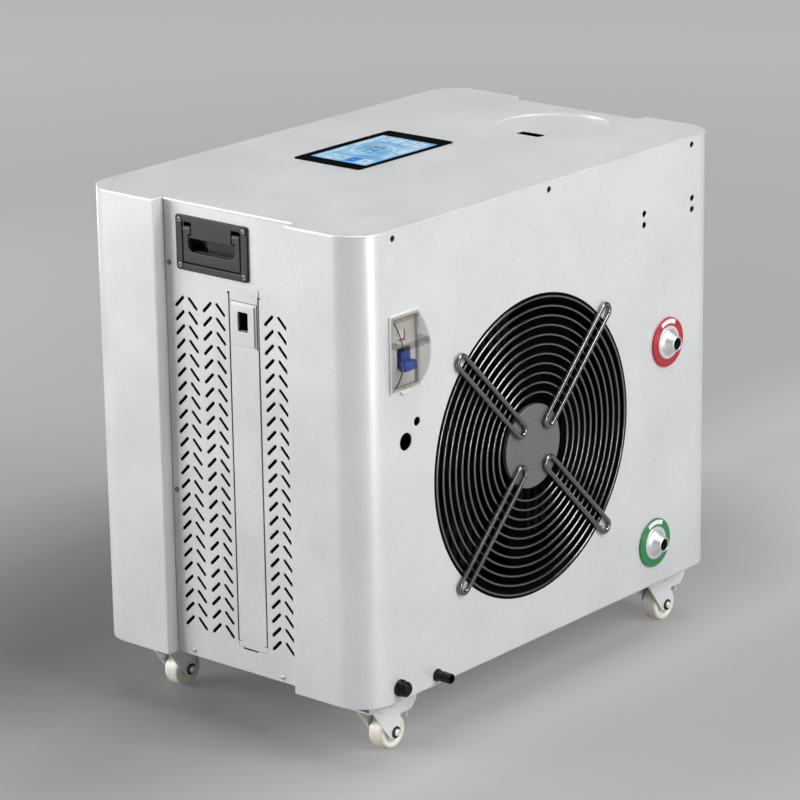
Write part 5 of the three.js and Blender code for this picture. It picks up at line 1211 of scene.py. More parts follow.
def drawnScrew(normal, radius, rise):  # a round head with a round socket, drawn about the origin and facing along a normal
    bm = bmesh.new()
    socket, depth = screwHead["socket"] * radius, screwHead["depth"]
    (near, low), (far, lower) = screwHead["shoulder"], screwHead["rim"]
    profile = [(socket, -depth), (socket, rise - screwHead["lipDrop"]), (socket + screwHead["lip"], rise),
               (near * radius, rise * low), (far * radius, rise * lower), (radius, -screwHead["rimDrop"]), (radius, -depth)]
    turned(bm, filleted(profile, screwHead["fillet"], 2), (0, 0, 0), axis="x", steps=screwHead["sides"])
    floor = circleLoop((0, 0), screwHead["floorShare"] * socket, screwHead["sides"], clockwise=False)
    bm.faces.new([bm.verts.new((screwHead["floor"] - depth, p.x, p.y)) for p in floor])
    turn = Vector((1, 0, 0)).rotation_difference(Vector(normal)).to_matrix().to_4x4()
    bmesh.ops.transform(bm, matrix=turn, verts=bm.verts)
    bmesh.ops.recalc_face_normals(bm, faces=bm.faces)
    return bm


def screws(name, places, normal, radius, seed, finish="screw_steel", rise=screwHead["rise"]):
    bm = copiesAt(drawnScrew(normal, radius, rise), places, normal, (0, math.pi / 3), seed, finish)
    addPiece(name, bm, finish, "cabinet", smooth=35)


makeHandle("left", -1)
makeHandle("right", 1)
print("ends ready")


# Top: lid, display


def makeLid():
    half = Vector(topCover["fingerSize"])
    middle = Vector((lidCentre.x - topCover["fingerShift"], lidCentre.y))
    finger = roundedLoop(middle - half, middle + half, topCover["fingerCorner"], 6, clockwise=True)
    rim = circleLoop(lidCentre, lidRadius, topCover["lidSides"], clockwise=False)
    bm = bmesh.new()
    plate(bm, [rim, finger], lidLow.z, lidHigh.z - topCover["lidDrop"], topCover["lidEdge"])
    addPiece("lid", bm, "cabinet_coat", "filter_lid", ["filter_lid"], smooth=30)


def makeLidSeat():  # the pressed ledge under the lid's rim
    inner, outer = lidRadius - topCover["ledge"], lidRadius + topCover["lidGap"] + topCover["ledgeReach"]
    top, edge = lidLow.z - topCover["ledgeBelow"], topCover["ledgeEdge"]
    rows = [(inner, "top", 0), (outer, "top", 0), (outer, "foot", 0), (inner, "foot", 0)]
    anchors = {"top": top, "foot": top - topCover["ledgeSheet"]}
    bm = bmesh.new()
    lathed(bm, rows, anchors, (lidCentre.x, lidCentre.y, 0), "z", 96, edge, closed=True)
    addPiece("lidSeat", bm, "cabinet_coat", "cabinet", smooth=30)


screenLow, screenHigh = boxOf("display_screen")
screenStyle = {"strength": 0.95, "cloudScale": 28.0, "cloudRange": (0.35, 0.65), "gridScale": 4000.0, "gridTone": (0.97, 1.03),
               "base": (0.01, 0.012, 0.015, 1), "roughness": 0.1, "specular": 0.1}
screenTones = {"face": ((0.12, 0.38, 0.66), (0.38, 0.62, 0.8)), "tile": ((0.42, 0.62, 0.78), (0.55, 0.72, 0.84)),
               "deep": ((0.02, 0.16, 0.62), (0.03, 0.22, 0.72)), "ink": ((0.02, 0.04, 0.09), (0.03, 0.05, 0.1)),
               "warm": ((0.75, 0.25, 0.05), (0.8, 0.3, 0.06))}


def makeScreenMaterial(name, pair):  # lit pixels under glass: soft clouds between two tones and a faint pixel grid
    material, tree, shader = newMaterial(name)
    place = objectPlace(tree)
    clouds = nodeOut(tree, "ShaderNodeTexNoise", {"Vector": place, "Scale": screenStyle["cloudScale"], "Detail": 4})
    tone = mixColours(tree, spread(tree, clouds, *screenStyle["cloudRange"]), (*pair[0], 1), (*pair[1], 1))
    dots = addNode(tree, "ShaderNodeTexChecker", {"Vector": place, "Scale": screenStyle["gridScale"]}).outputs[1]
    level = spread(tree, dots, 0, 1, *screenStyle["gridTone"])
    lit = nodeOut(tree, "ShaderNodeVectorMath", {0: tone, 3: level}, operation="SCALE")
    tree.links.new(lit, shader.inputs["Emission Color"])
    for key, value in (("Emission Strength", screenStyle["strength"]), ("Base Color", screenStyle["base"]),
                       ("Roughness", screenStyle["roughness"]), ("Specular IOR Level", screenStyle["specular"])):
        shader.inputs[key].default_value = value
    return material


screenInks = ["screen_" + key for key in screenTones]
for key, pair in screenTones.items():
    materials["screen_" + key] = makeScreenMaterial("screen_" + key, pair)
tile, deep, ink, warm = 1, 2, 3, 4  # the places of their materials on the screen

display = {"corner": 4, "edge": 0.7, "windowGap": 0.35, "windowCorner": 1.2, "bodyInset": 4.3, "bodyCorner": 2, "bodyDrop": 0.6,
           "bodyEdge": 0.6, "glassCorner": 1, "glassDrop": 0.3, "glassEdge": 0.25, "picture": 0.28, "text": 0.02, "weld": 0.0005}
# What the screen shows, placed in shares of its width and height: tiles with their low and high corners, and digits
screenTiles = [((0.03, 0.88), (0.97, 0.96), tile, 1.5)]
for i in range(4):
    for x, tone in ((0.04, deep if i == 1 else tile), (0.81, tile)):
        screenTiles.append(((x, 0.08 + i * 0.2), (x + 0.15, 0.24 + i * 0.2), tone, 2.0))
screenTiles.append(((0.32, 0.06), (0.68, 0.16), tile, 2.5))
screenDial = {"middle": (0.5, 0.52), "radius": 0.32, "inner": 0.9, "sides": 64, "warmSides": 12, "text": 0.8}
screenDigits = [("08", 9, (0.115, 0.16), ink), ("26", 9, (0.885, 0.16), ink), ("30", 9, (0.115, 0.56), ink),
                ("42", 9, (0.885, 0.76), ink), ("15", 9, (0.885, 0.36), ink), ("24", 9, (0.115, 0.76), ink),
                ("1", 9, (0.115, 0.36), tile),
                ("00:00", 6.5, (0.5, 0.92), ink), ("20", 7, (0.5, 0.11), ink)]


def drawnText(text, size):  # digits as flat faces: drawn as a text curve, then made a mesh
    curve = bpy.data.curves.new("digits", "FONT")
    curve.body, curve.size = text, size
    curve.align_x, curve.align_y = "CENTER", "CENTER"
    curve.resolution_u = 3
    obj = newObject("digits", curve)
    bpy.context.view_layer.update()
    mesh = bpy.data.meshes.new_from_object(obj.evaluated_get(bpy.context.evaluated_depsgraph_get()))
    bpy.data.objects.remove(obj)
    bm = bmesh.new()
    bm.from_mesh(mesh)
    bpy.data.meshes.remove(mesh)
    return bm


def makeDisplayFrame():
    gap, inset = display["windowGap"], display["bodyInset"]
    outline = roundedLoop((displayLow.x, displayLow.y), (displayHigh.x, displayHigh.y), display["corner"], 6)
    window = roundedLoop((screenLow.x - gap, screenLow.y - gap), (screenHigh.x + gap, screenHigh.y + gap),
                         display["windowCorner"], 3, clockwise=True)
    bm = bmesh.new()
    plate(bm, [outline, window], topHigh.z, displayHigh.z, display["edge"])
    body = roundedLoop((displayLow.x + inset, displayLow.y + inset), (displayHigh.x - inset, displayHigh.y - inset),
                       display["bodyCorner"], 3)
    plate(bm, [body], displayLow.z, topHigh.z - display["bodyDrop"], display["bodyEdge"])
    addPiece("displayFrame", bm, "display_black", "cabinet", ["display_frame"], smooth=35)


def makeDisplayScreen():  # a bright face with generic tiles, a dial and digits on it
    width, height = screenHigh.x - screenLow.x, screenHigh.y - screenLow.y
    level = screenHigh.z - display["picture"]

    def at(place):
        return screenLow.x + width * place[0], screenLow.y + height * place[1]

    bm = bmesh.new()
    glass = roundedLoop((screenLow.x, screenLow.y), (screenHigh.x, screenHigh.y), display["glassCorner"], 3)
    plate(bm, [glass], screenLow.z, screenHigh.z - display["glassDrop"], display["glassEdge"])
    for low, high, index, radius in screenTiles:
        bm.faces.new([bm.verts.new((p.x, p.y, level)) for p in roundedLoop(at(low), at(high), radius, 4)]).material_index = index
    sides, dial, centre = screenDial["sides"], screenDial["radius"] * height, at(screenDial["middle"])
    outer, inner = ([bm.verts.new((p.x, p.y, level)) for p in circleLoop(centre, radius, sides, clockwise=False)]
                    for radius in (dial, dial * screenDial["inner"]))
    for i in range(sides):
        j = (i + 1) % sides
        bm.faces.new((outer[i], outer[j], inner[j], inner[i])).material_index = warm if i < screenDial["warmSides"] else tile
    for text, size, place, index in [("12.5", dial * screenDial["text"], screenDial["middle"], ink)] + screenDigits:
        x, y = at(place)
        copyInto(bm, drawnText(text, size), lambda p: (x + p.x, y + p.y, level + display["text"]), index)
    bmesh.ops.remove_doubles(bm, verts=bm.verts, dist=display["weld"])
    addPiece("displayScreen", bm, screenInks, "cabinet", ["display_screen"], smooth=35, outward=False, weld=0.0002)


makeLid()
makeLidSeat()
makeDisplayFrame()
makeDisplayScreen()
print("top ready")


# Turned pieces


def roundPiece(name, node, finish, rows, fillet=0.0, filletSteps=2, closed=False, steps=48, smooth=35, body="cabinet",
               centre=None, more=None, replaced=True, slot=None, bm=None):
    # a piece turned about Y in a node's box: its rows count from the low or high end, from the front wall or from more places
    low, high = boxOf(node)
    bm = bm or bmesh.new()
    anchors = {"low": low.y, "high": high.y, "wall": faceY, **(more or {})}
    lathed(bm, rows, anchors, centre or centreOf(low, high), "y", steps, fillet, filletSteps, closed)
    addPiece(name, bm, finish, body, [node] if replaced else [], smooth=smooth)


# Fan

guardLow = boxOf("fan_guard")[0]
fanPlace = (fanCentre.x, 0, fanCentre.z)
guard = {"rings": 11, "firstRing": 70.3, "pitch": 12.29, "wire": 1.7, "ringSteps": 144, "arms": 4, "rod": 3.4, "rodSpacing": 17.0,
         "armInner": 32.4, "armOuter": 215.1, "armLift": 3.5, "boltRadius": 205.5, "boltSink": 0.4, "boltHead": 2.8,
         "boltRise": 1.0}


def makeGuard():
    seat = bmesh.new()
    seat.verts.new((0, 0, 0))
    bm = grow(seat, ringGuard, {
        "Ring Count": guard["rings"], "First Radius": guard["firstRing"], "Ring Pitch": guard["pitch"], "Wire": guard["wire"],
        "Ring Steps": guard["ringSteps"], "Arm Count": guard["arms"], "Arm Turn": math.pi / 4, "Arm Inner": guard["armInner"],
        "Arm Outer": guard["armOuter"], "Rod": guard["rod"], "Rod Spacing": guard["rodSpacing"], "Arm Lift": guard["armLift"],
        "Material": materials["guard_wire"]})
    ringY = guardLow.y + guard["rod"] + guard["armLift"]
    asWorld(bm, lambda p: (fanCentre.x + p.x, ringY - p.z, fanCentre.z + p.y))
    addPiece("fanGuard", bm, "guard_wire", "cabinet", ["fan_guard"], smooth=50)
    reach = guard["boltRadius"] / math.sqrt(2)
    places = [(fanCentre.x + a * reach, faceY - guard["boltSink"], fanCentre.z + b * reach) for a in (-1, 1) for b in (-1, 1)]
    screws("guardBolts", places, (0, -1, 0), guard["boltHead"], 5, rise=guard["boltRise"])


rotor = {"rows": 12, "columns": 12, "root": 48, "tip": 171.0, "halfSheet": 0.9, "rootTurn": 32, "turnLoss": 8, "halfChord": 40,
         "swell": 10, "swellSpan": 0.8, "sweep": 0.18, "camber": 5, "roundFrom": 0.86, "roundLoss": 0.25, "blades": 5,
         "firstTurn": 0.35}


def bladePoint(share, s, wall):  # on a twisted and cambered blade: share from root to tip, s from -1 to 1 along the chord
    radius = rotor["root"] + (rotor["tip"] - rotor["root"]) * share
    turn = math.radians(rotor["rootTurn"] - rotor["turnLoss"] * share)
    half = rotor["halfChord"] + rotor["swell"] * math.sin(share * math.pi * rotor["swellSpan"])
    tipShare = max(0.0, share - rotor["roundFrom"]) / (1 - rotor["roundFrom"])
    along = s * half * math.sqrt(1 - rotor["roundLoss"] * tipShare ** 2)
    angle = along * math.cos(turn) / radius + rotor["sweep"] * share ** 2
    depth = along * math.sin(turn) + rotor["camber"] * (1 - s * s) + wall
    return (radius * math.cos(angle), depth, radius * math.sin(angle))


def makeRotor():
    low, high = boxOf("fan_rotor")
    rows, columns, rims = rotor["rows"], rotor["columns"], []
    blade = bmesh.new()
    for wall in (-rotor["halfSheet"], rotor["halfSheet"]):
        grid = [[blade.verts.new(bladePoint(i / rows, 2 * k / columns - 1, wall)) for k in range(columns + 1)]
                for i in range(rows + 1)]
        for i in range(rows):
            for k in range(columns):
                corners = (grid[i][k], grid[i][k + 1], grid[i + 1][k + 1], grid[i + 1][k])
                blade.faces.new(corners if wall > 0 else corners[::-1])
        rims.append(grid[0][:-1] + [row[-1] for row in grid[:-1]] + grid[-1][:0:-1] + [row[0] for row in grid[:0:-1]])
    joinRings(blade, rims, closed=False)
    bmesh.ops.recalc_face_normals(blade, faces=blade.faces)
    bm = grow(blade, turnedCopies, {
        "Axis": (0, 1, 0), "Count": rotor["blades"], "First Turn": rotor["firstTurn"], "Material": materials["fan_black"]})
    asWorld(bm, lambda p: (fanCentre.x + p.x, (low.y + high.y) / 2 + p.y, fanCentre.z + p.z))
    roundPiece("fanRotor", "fan_rotor", "fan_black", [(47.5, "low", 1), (52, "low", 1), (52, "high", -1), (47.5, "high", -1)],
               1.2, 3, closed=True, steps=72, smooth=40, body="fan_rotor", centre=fanPlace, bm=bm)


makeGuard()
roundPiece("fanShroud", "fan_shroud", "fan_black", [
    (210, "low", 0), (197.7, "low", 0), (197.7, "wall", -0.3), (195.9, "wall", -0.3), (195.5, "low", 1), (186, "low", 5),
    (178, "low", 16), (178, "high", 0), (180, "high", 0), (180, "low", 18), (188, "low", 8), (200, "low", 2.6), (210, "low", 2.4),
], closed=True, steps=128, smooth=40, centre=fanPlace)
roundPiece("fanMotor", "fan_motor", "motor_case", [
    (0, "low", 0), (30, "low", 0), (31, "low", 0.5), (33.5, "low", 0.5), (34.5, "low", 0), (54, "low", 0), (55, "low", 1),
    (55, "low", 6), (54, "low", 7), (47, "low", 7.4), (46, "low", 9), (46, "low", 40), (44, "high", 0), (0, "high", 0),
], 0.8, 3, steps=96, centre=fanPlace)
makeRotor()
print("fan ready")


# Circuit breaker

frameLow, frameHigh = boxOf("breaker_frame")
moduleLow, moduleHigh = boxOf("breaker_module")
breaker = {"frameEdge": 0.8, "frameCorner": 1.6, "frameSide": 5.2, "frameHead": 6.2,
           "bodyInset": 3.6, "bodyTop": 0.4, "bodyEdge": 0.3, "tabWide": 10, "tabNarrow": 5.5, "tabRise": 1, "tabDrop": 4.6,
           "tabDepth": (0.2, 2.6), "tabEdge": 0.6}
lid = {"wall": 1.5, "steps": 24, "power": 2.2, "edgeShadeInset": 0.8, "edgeShadeShift": 0.5, "edgeShadeRadius": 0.45, "ribInset": 2}
# The module: its slot beside the lever, its body behind the wall, and its nose with the fields round the slot
module = {"slotSide": 3, "slotFoot": 1, "slotHead": 7.8, "slotDepth": 24.0, "slotEdge": 0.5, "front": 2.2,
          "rest": 2.1, "restEdge": 0.8, "noseHalf": 22, "noseSide": 0.3, "noseBack": 3.4, "noseEdge": 0.6,
          "fieldSide": 2.4, "fieldSink": 0.02, "fieldEdge": 0.5}


def makeBreakerFrame():
    inset, tabWide, tabNarrow = breaker["bodyInset"], breaker["tabWide"], breaker["tabNarrow"]
    outline = roundedLoop((frameLow.x, frameLow.z), (frameHigh.x, frameHigh.z), breaker["frameCorner"], 4)
    side, head = breaker["frameSide"], breaker["frameHead"]
    opening = roundedLoop((frameLow.x + side, frameLow.z + head), (frameHigh.x - side, frameHigh.z - head), 1, 3, clockwise=True)
    body = roundedLoop((frameLow.x + inset, frameLow.z + inset), (frameHigh.x - inset, frameHigh.z - inset), 1, 3)
    # finger tab below the frame's foot
    middle, high, low = (frameLow.x + frameHigh.x) / 2, frameLow.z + breaker["tabRise"], frameLow.z - breaker["tabDrop"]
    tab = loopOf((middle - tabWide, high), (middle - tabNarrow, low), (middle + tabNarrow, low), (middle + tabWide, high))
    bm = bmesh.new()
    for loops, (near, far), edge in (([outline, opening], (0.0, faceY - frameLow.y), breaker["frameEdge"]),
                                     ([body, opening], (faceY - frameHigh.y, breaker["bodyTop"]), breaker["bodyEdge"]),
                                     ([tab], breaker["tabDepth"], breaker["tabEdge"])):
        plate(bm, loops, near, far, edge, place=onFace(faceY, -1))
    addPiece("breakerFrame", bm, "breaker_ivory", "cabinet", ["breaker_frame"], smooth=35)


def makeBreakerLid():  # a clear bow with flat side walls, drawn with its wall thickness, so light bends going in and coming out
    low, high = boxOf("breaker_lid")
    middle, halfHeight, seat = (low.z + high.z) / 2, (high.z - low.z) / 2, high.y
    wall, steps = lid["wall"], lid["steps"]

    def bow(inset):  # outline of the bow seen from the side, from foot to top
        points = []
        for s in (-1 + 2 * i / steps for i in range(steps + 1)):
            rise = (seat - low.y - inset) * (1 - abs(s) ** lid["power"])
            points.append((seat - max(rise, 0.0), middle + (halfHeight - inset) * s))
        return points

    bm = bmesh.new()
    columns = [[bm.verts.new((x, y, z)) for y, z in bow(inset)]
               for x, inset in ((low.x, 0), (low.x + wall, wall), (high.x - wall, wall), (high.x, 0))]
    for a, b in ((columns[0], columns[3]), (columns[1], columns[2])):
        for i in range(steps):
            bm.faces.new((a[i], a[i + 1], b[i + 1], b[i]))
    for number in (0, 1, 3, 2):  # side walls: outer face and inner face down to the seat
        bm.faces.new(columns[number])
    rims = [[columns[a][0], columns[b][0], columns[b][-1], columns[a][-1]] for a, b in ((0, 3), (1, 2))]
    joinRings(bm, rims, closed=False)
    bmesh.ops.recalc_face_normals(bm, faces=bm.faces)
    addPiece("breakerLid", bm, "breaker_smoke", "breaker_lid", ["breaker_lid"], smooth=25)
    # two hinge ribs at its top and a finger rib at its foot, moulded with the lid
    bm = bmesh.new()
    centre = (low.x + high.x) / 2
    wide = centre - low.x - lid["ribInset"]
    for half, far, near, foot, head, edge in ((wide, 2.6, 0.6, high.z - 4.2, high.z - 3.0, 0.3),
                                              (wide, 2.2, 0.8, high.z - 7.0, high.z - 6.2, 0.2),
                                              (6, 3.6, 1.6, low.z + 1.6, low.z + 3.2, 0.4)):
        block(bm, (centre - half, seat - far, foot), (centre + half, seat - near, head), edge)
    addPiece("breakerLidRibs", bm, "breaker_smoke", "breaker_lid", smooth=35)
    # a dark rod inside the bow beside its left wall: painted shade for the dark line that the side wall's edge shows
    # through the clear lid
    bm = bmesh.new()
    swept(bm, [(low.x + wall + lid["edgeShadeShift"], y, z) for y, z in bow(wall + lid["edgeShadeInset"])[1:-1]], lid["edgeShadeRadius"], sides=8)
    addPiece("breakerLidEdgeShade", bm, "rubber_black", "breaker_lid", smooth=50)


def makeBreakerModule():
    leverLow, leverHigh = boxOf("breaker_lever")
    front, back, side, field = moduleLow.y, faceY + module["noseBack"], module["slotSide"], module["fieldSide"]
    slotFoot, slotHead = leverLow.z - module["slotFoot"], leverHigh.z + module["slotHead"]
    body = rectangle((moduleLow.x, moduleLow.z), (moduleHigh.x, moduleHigh.z))
    slot = rectangle((leverLow.x + side, slotFoot), (leverHigh.x - side, slotHead), clockwise=True)
    bm = bmesh.new()
    plate(bm, [body, slot], 0, module["slotDepth"], module["slotEdge"], place=onFace(faceY + module["front"], 1))
    block(bm, (moduleLow.x, faceY + module["rest"] + module["slotDepth"], moduleLow.z), (moduleHigh.x, moduleHigh.y, moduleHigh.z),
          module["restEdge"])
    # nose with the lever's slot: two cheeks and the fields above and below the slot
    middle, sink = (moduleLow.z + moduleHigh.z) / 2, module["fieldSink"]
    foot, head = middle - module["noseHalf"], middle + module["noseHalf"]
    for low, high in ((moduleLow.x + module["noseSide"], leverLow.x + side),
                      (leverHigh.x - side, moduleHigh.x - module["noseSide"])):
        block(bm, (low, front, foot), (high, back, head), module["noseEdge"])
    for low, high in ((slotHead, head - sink), (foot + sink, slotFoot)):
        block(bm, (leverLow.x + field, front + sink, low), (leverHigh.x - field, back, high), module["fieldEdge"])
    addPiece("breakerModule", bm, "breaker_ivory", "cabinet", ["breaker_module"], smooth=35)
    # a state window: pale field in a red rim
    for name, inset, rise, finish in (("breakerWindowRim", 0.0, 0.3, "ring_red"), ("breakerWindow", 2.6, 0.5, "label_white")):
        bm = bmesh.new()
        block(bm, (leverLow.x + 4.5, front - rise, leverHigh.z + 17 + inset),
              (leverLow.x + 17.5 - inset, front + 0.6, leverHigh.z + 30.5), 0.2)
        addPiece(name, bm, finish, "cabinet", smooth=35)


lever = {"pivot": 8, "side": 4.5, "edge": 0.5, "blockEdge": 1.0,
         # a narrow block leaves the barrel and ends in a broad paddle, tilted down: half width, near, far, foot, head and lean
         "blocks": ((7.2, 10.5, -2, -8, 10.5, 0), (11.2, 18.5, 9.2, -13.5, -2.0, -8))}


def makeLever():
    low, high = boxOf("breaker_lever")
    middle, radius = (low.x + high.x) / 2, lever["pivot"]
    pivot = (0, high.y - radius, high.z - radius)
    left, right = low.x + lever["side"], high.x - lever["side"]
    bm = bmesh.new()
    turned(bm, filleted([(0, left), (radius, left), (radius, right), (0, right)], lever["edge"], 2), pivot, axis="x", steps=32)
    for half, near, far, foot, head, lean in lever["blocks"]:
        neck = bmesh.new()
        block(neck, (middle - half, -near, foot), (middle + half, -far, head), lever["blockEdge"], 3)
        turn = Matrix.Translation(pivot) @ Matrix.Rotation(math.radians(lean), 4, "X")
        copyInto(bm, neck, lambda p: turn @ p)
    addPiece("breakerLever", bm, "lever_blue", "breaker_lever", ["breaker_lever"], smooth=35)


smoke = {"grain": 0.004, "rough": (0.12, 0.05), "clear": ((0.75, 0.745, 0.74, 1), (0.82, 0.815, 0.81, 1)),
         "bump": 0.01, "bend": 1.13, "reflectionMiddle": 545.0, "band": (3.6, 4.8), "reflectionTone": (0.52, 0.52, 0.52, 1)}


def makeSmokeMaterial():  # clear, slightly grey moulding with faint flow marks, and a darker band across the bow's middle: a painted reflection
    material, tree, shader = newMaterial("breaker_smoke")
    grain = addNode(tree, "ShaderNodeGroup", node_tree=grainGroup)
    grain.inputs["Grain Size"].default_value = smoke["grain"]
    scuff = addNode(tree, "ShaderNodeGroup", node_tree=scuffGroup).outputs["Mask"]
    rough = calculate(tree, "MULTIPLY_ADD", scuff, *smoke["rough"])
    tint = mixColours(tree, grain.outputs["Mottle"], *smoke["clear"])
    axes = addNode(tree, "ShaderNodeSeparateXYZ", {0: objectPlace(tree)})
    # painted reflection: a darker band across the bow at one height
    away = calculate(tree, "ABSOLUTE", calculate(tree, "SUBTRACT", axes.outputs[2], smoke["reflectionMiddle"] * mm))
    tint = mixColours(tree, spread(tree, away, *(edge * mm for edge in smoke["band"])), smoke["reflectionTone"], tint)
    bump = nodeOut(tree, "ShaderNodeBump", {"Strength": 1.0, "Distance": smoke["bump"] * mm, "Height": grain.outputs["Grain"]})
    for link, key in ((rough, "Roughness"), (tint, "Base Color"), (bump, "Normal")):
        tree.links.new(link, shader.inputs[key])
    for key, value in (("Transmission Weight", 1.0), ("IOR", smoke["bend"]), ("Metallic", 0.0)):
        shader.inputs[key].default_value = value
    return material


materials["breaker_smoke"] = makeSmokeMaterial()
makeBreakerFrame()
makeBreakerLid()
makeBreakerModule()
makeLever()
roundPiece("testButton", "test_button", "breaker_ivory",
           [(0, "low", 0), (2.4, "low", 0), (3.2, "low", 0.8), (3.2, "high", 0), (0, "high", 0)], 0.3, steps=28, body="test_button")
print("breaker ready")


# Water ports and drain

label = {"from": 60, "to": 122, "outer": 31.5, "inner": 25.5, "rise": 0.28, "ringRise": 1.6, "steps": 24}
ringRows = [(21.5, "ringBack", 0), (21.5, "ring", -1.6), (32.9, "ring", -1.6), (33.5, "ring", -0.8), (33.5, "ringBack", 0)]
# flange disc, trumpet cone, nozzle with its bore
portRows = [(22.5, "ring", 0.4), (22.5, "ring", -2.4), (21.7, "ring", -3.0), (18.2, "ring", -3.0), (17.2, "ring", -3.6),
            (14.6, "ring", -6.4), (10.6, "low", 3.4), (10.2, "low", 0.8), (9.4, "low", 0), (8.5, "low", 0), (8.2, "low", 0.8),
            (8.2, "low", 14), (7.4, "low", 15), (7.4, "high", 0), (9.2, "high", 0), (9.2, "ringBack", 3), (13, "ringBack", 3),
            (13, "ring", 0.4)]
sleeveRows = [(8.15, "low", 1.6), (8.15, "low", 13.5), (7.2, "low", 13.8), (7.2, "low", 26), (6.6, "low", 26), (6.6, "low", 13.2),
              (7.5, "low", 12.8), (7.5, "low", 1.6)]
threadRows = [(9.0, "high", -21.0)]
for i in range(8):
    threadRows += [(radius, "high", shift + i * 2.4) for radius, shift in ((9.0, -21.0), (9.8, -20.2), (9.8, -19.6))]
threadRows += [(9.0, "high", -1.8), (8.6, "high", -1.8), (8.6, "high", -21.0)]


def ringLines(tree, centre):
    group = addNode(tree, "ShaderNodeGroup", node_tree=ringGroup)
    group.inputs["Centre"].default_value = Vector(centre) * mm
    return group.outputs["Lines"]


def makePort(name, finish):
    ringLow, ringHigh = boxOf(name + "_ring")
    centre = centreOf(*boxOf(name + "_port"))
    rest = {"centre": centre, "more": {"ring": ringLow.y, "ringBack": ringHigh.y}, "closed": True}
    roundPiece(name + "Ring", name + "_ring", finish, ringRows, 0.5, steps=96, **rest)
    # pale label arc, left without lettering
    bm = bmesh.new()
    face = ringLow.y - label["ringRise"]
    rings = []
    for radius, rise in (("inner", label["rise"]), ("outer", label["rise"]), ("outer", 0), ("inner", 0)):
        points = arc((centre[0], centre[2]), label[radius], label["from"], label["to"], label["steps"])
        rings.append([bm.verts.new((p.x, face - rise, p.y)) for p in points])
    for a, b in zip(rings, rings[1:] + rings[:1]):
        for i in range(label["steps"]):
            bm.faces.new((a[i], a[i + 1], b[i + 1], b[i]))
    for end in (0, -1):
        bm.faces.new([ring[end] for ring in rings])
    addPiece(name + "Label", bm, "label_white", "cabinet", smooth=35)
    node = name + "_port"
    material = makeFinish("port_metal_" + name, finishes["port_metal"], lambda tree: (ringLines(tree, centre), 0.012))
    roundPiece(name + "Port", node, material, portRows, 0.7, 3, steps=72, slot="port_metal", **rest)
    roundPiece(name + "Sleeve", node, "rubber_black", sleeveRows, replaced=False, **rest)
    roundPiece(name + "Thread", node, material, threadRows, steps=32, smooth=25, replaced=False, slot="port_metal", **rest)


grip = {"low": 2.4, "high": 0.4, "near": 8.3, "far": 9.8, "half": 1.5, "edge": 0.35, "count": 12}


def makeDrainCap():  # a chamfered round with grip flats about its rim
    capLow, capHigh = boxOf("drain_cap")
    centre = centreOf(*boxOf("drain_plug"))
    bm = bmesh.new()
    block(bm, (grip["near"], capLow.y + grip["low"], -grip["half"]), (grip["far"], capHigh.y - grip["high"], grip["half"]),
          grip["edge"])
    bm = grow(bm, turnedCopies, {
        "Axis": (0, 1, 0), "Count": grip["count"], "First Turn": 0.0, "Material": materials["drain_black"]})
    asWorld(bm, lambda p: (centre[0] + p.x, p.y, centre[2] + p.z))
    roundPiece("drainCap", "drain_cap", "drain_black", [
        (0, "high", 0), (9.0, "high", 0), (9.0, "low", 2.2), (7.2, "low", 0), (3.2, "low", 0), (2.6, "low", 0.7), (0, "low", 0.7),
    ], 0.4, body="drain_cap", centre=centre, bm=bm)


makePort("outlet", "ring_red")
makePort("inlet", "ring_green")
roundPiece("drainPlug", "drain_plug", "drain_black", [
    (0, "high", 0), (7, "high", 0), (7, "wall", 0.2), (11, "wall", 0), (11, "wall", -3.4), (9.6, "wall", -5.6), (6.6, "wall", -6.0),
    (6.6, "low", 0), (0, "low", 0),
], 0.5)
makeDrainCap()
roundPiece("drainSpout", "drain_spout", "drain_black", [
    (4.8, "high", 0), (6.6, "high", 0), (6.6, "wall", -0.1), (8.0, "wall", -0.1), (8.0, "wall", -2.5), (6.7, "wall", -2.9),
    (6.6, "wall", -9), (7.1, "wall", -10), (7.1, "wall", -11), (6.6, "wall", -12), (6.6, "low", 0.9), (5.9, "low", 0),
    (5.2, "low", 0), (4.8, "low", 0.6),
], 0.4, closed=True, steps=40)
print("ports ready")


# Casters

# Half of the wheel's section: radius and distance from its side
wheelSide = [(4.15, 0), (7.6, 0), (8.2, 0.8), (8.6, 2.2), (15.5, 2.8), (16.5, 2.0), (17.4, 1.4), (20.2, 1.3),
             (21.8, 2.3), (22.7, 4.2)]
treadDepth, plateSoftness, forkSoftness = 7.5, 0.5, 0.4


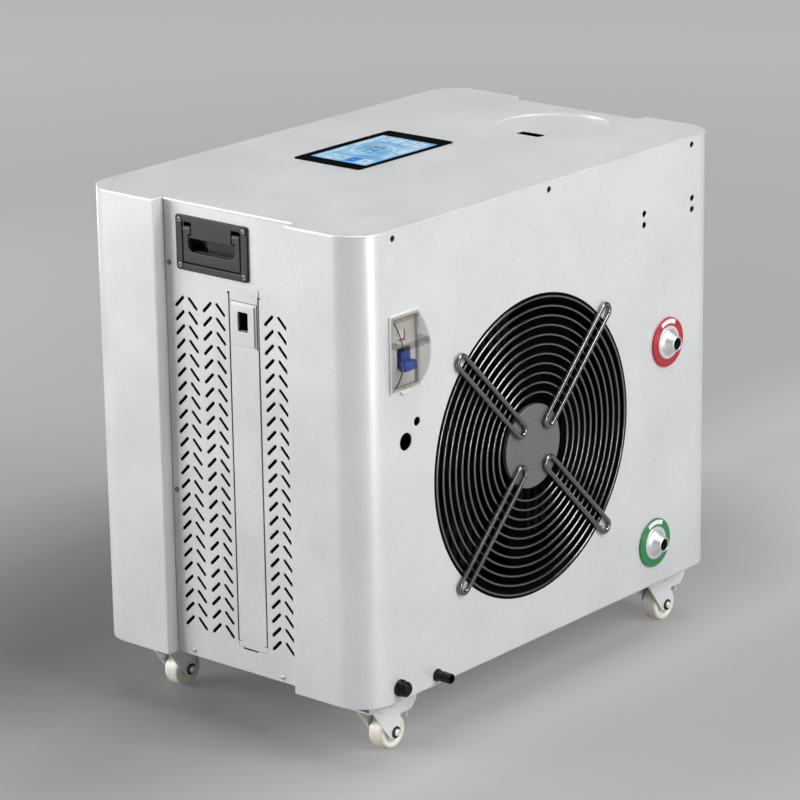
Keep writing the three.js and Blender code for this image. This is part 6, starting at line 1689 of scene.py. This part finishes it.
def makeCaster(corner):
    plateNode, forkNode, wheelNode, axleNode = ("caster_%s_%s" % (part, corner) for part in ("plate", "fork", "wheel", "axle"))
    name = "".join(word.capitalize() for word in corner.split("_"))
    swivel, wheel = "swivel_" + corner, "wheel_" + corner
    addPiece("casterPlate" + name, softened(copyOfNode(plateNode), plateSoftness), "caster_zinc", "cabinet", [plateNode], smooth=35)
    addPiece("casterFork" + name, softened(copyOfNode(forkNode), forkSoftness), "caster_zinc", swivel, [forkNode], smooth=40)
    low, high = boxOf(wheelNode)
    centre = centreOf(low, high)
    side = wheelSide + [((high.x - low.x) / 2, treadDepth)]
    rows = [(radius, "low", shift) for radius, shift in side] + [(radius, "high", -shift) for radius, shift in side[::-1]]
    roundPiece("casterWheel" + name, wheelNode, "wheel_nylon", rows, closed=True, steps=72, smooth=40, body=wheel)
    roundPiece("casterAxle" + name, axleNode, "axle_steel", [
        (0, "low", -0.6), (3.9, "low", -0.6), (4.7, "low", 0.2), (4.7, "low", 3.0), (3.9, "low", 3.0), (3.9, "high", -3.6),
        (6.0, "high", -3.6), (6.0, "high", -0.8), (5.0, "high", 0), (0, "high", 0),
    ], 0.5, steps=40, body=swivel, centre=centre, slot="caster_zinc")
    # a black ring round the axle's end: painted shade in the groove round its head
    roundPiece("casterShadeRing" + name, axleNode, "rubber_black",
               [(4.8, "low", 2.0), (7.4, "low", 2.0), (7.8, "low", 2.5), (7.8, "low", 3.1), (4.8, "low", 3.1)],
               closed=True, steps=40, body=swivel, centre=centre, replaced=False)


for corner in ("front_left", "front_right", "rear_left", "rear_right"):
    makeCaster(corner)
print("casters ready")


# Small screws of the sheet metal: on the front, at the feet and edges of both end walls, and on the rear

wallX = boxOf("left_panel")[0].x
footPlaces, edgePlaces = ((89.4, 92.6), (-62.2, 91.8)), ((111, 603), (111, 305.5))
screws("faceScrews", [(x, faceY + 2.6, faceHoles["screwZ"]) for x in faceHoles["screwX"]], (0, -1, 0), 3.2, 11, "screw_black")
for end, sign, seed in (("Left", 1, 12), ("Right", -1, 14)):
    for name, places, radius, later, finish, rise in (("footScrews", footPlaces, 3.2, 0, "screw_steel", 1.4),
                                                      ("edgeScrews", edgePlaces, 3.5, 1, "screw_dark", 1.2)):
        screws(name + end, [(sign * wallX, y, z) for y, z in places], (-sign, 0, 0), radius, seed + later, finish, rise)
rearPlaces = [(x, rearHigh.y, z) for x in (rearLow.x + 60, (rearLow.x + rearHigh.x) / 2, rearHigh.x - 60)
              for z in (rearLow.z + 12, rearHigh.z - 14)]
screws("rearScrews", rearPlaces, (0, 1, 0), 3.0, 16, rise=1.2)

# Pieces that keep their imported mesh: the pan below and the works inside
kept = [entry for entry in frame["record"]["subparts"] if not frame["nodes"][entry["node"]].hide_render]
for entry in kept:
    mesh = frame["nodes"][entry["node"]].data
    mesh.materials.clear()
    mesh.materials.append(materials[entry["material_slot"]])
print("inner works ready")
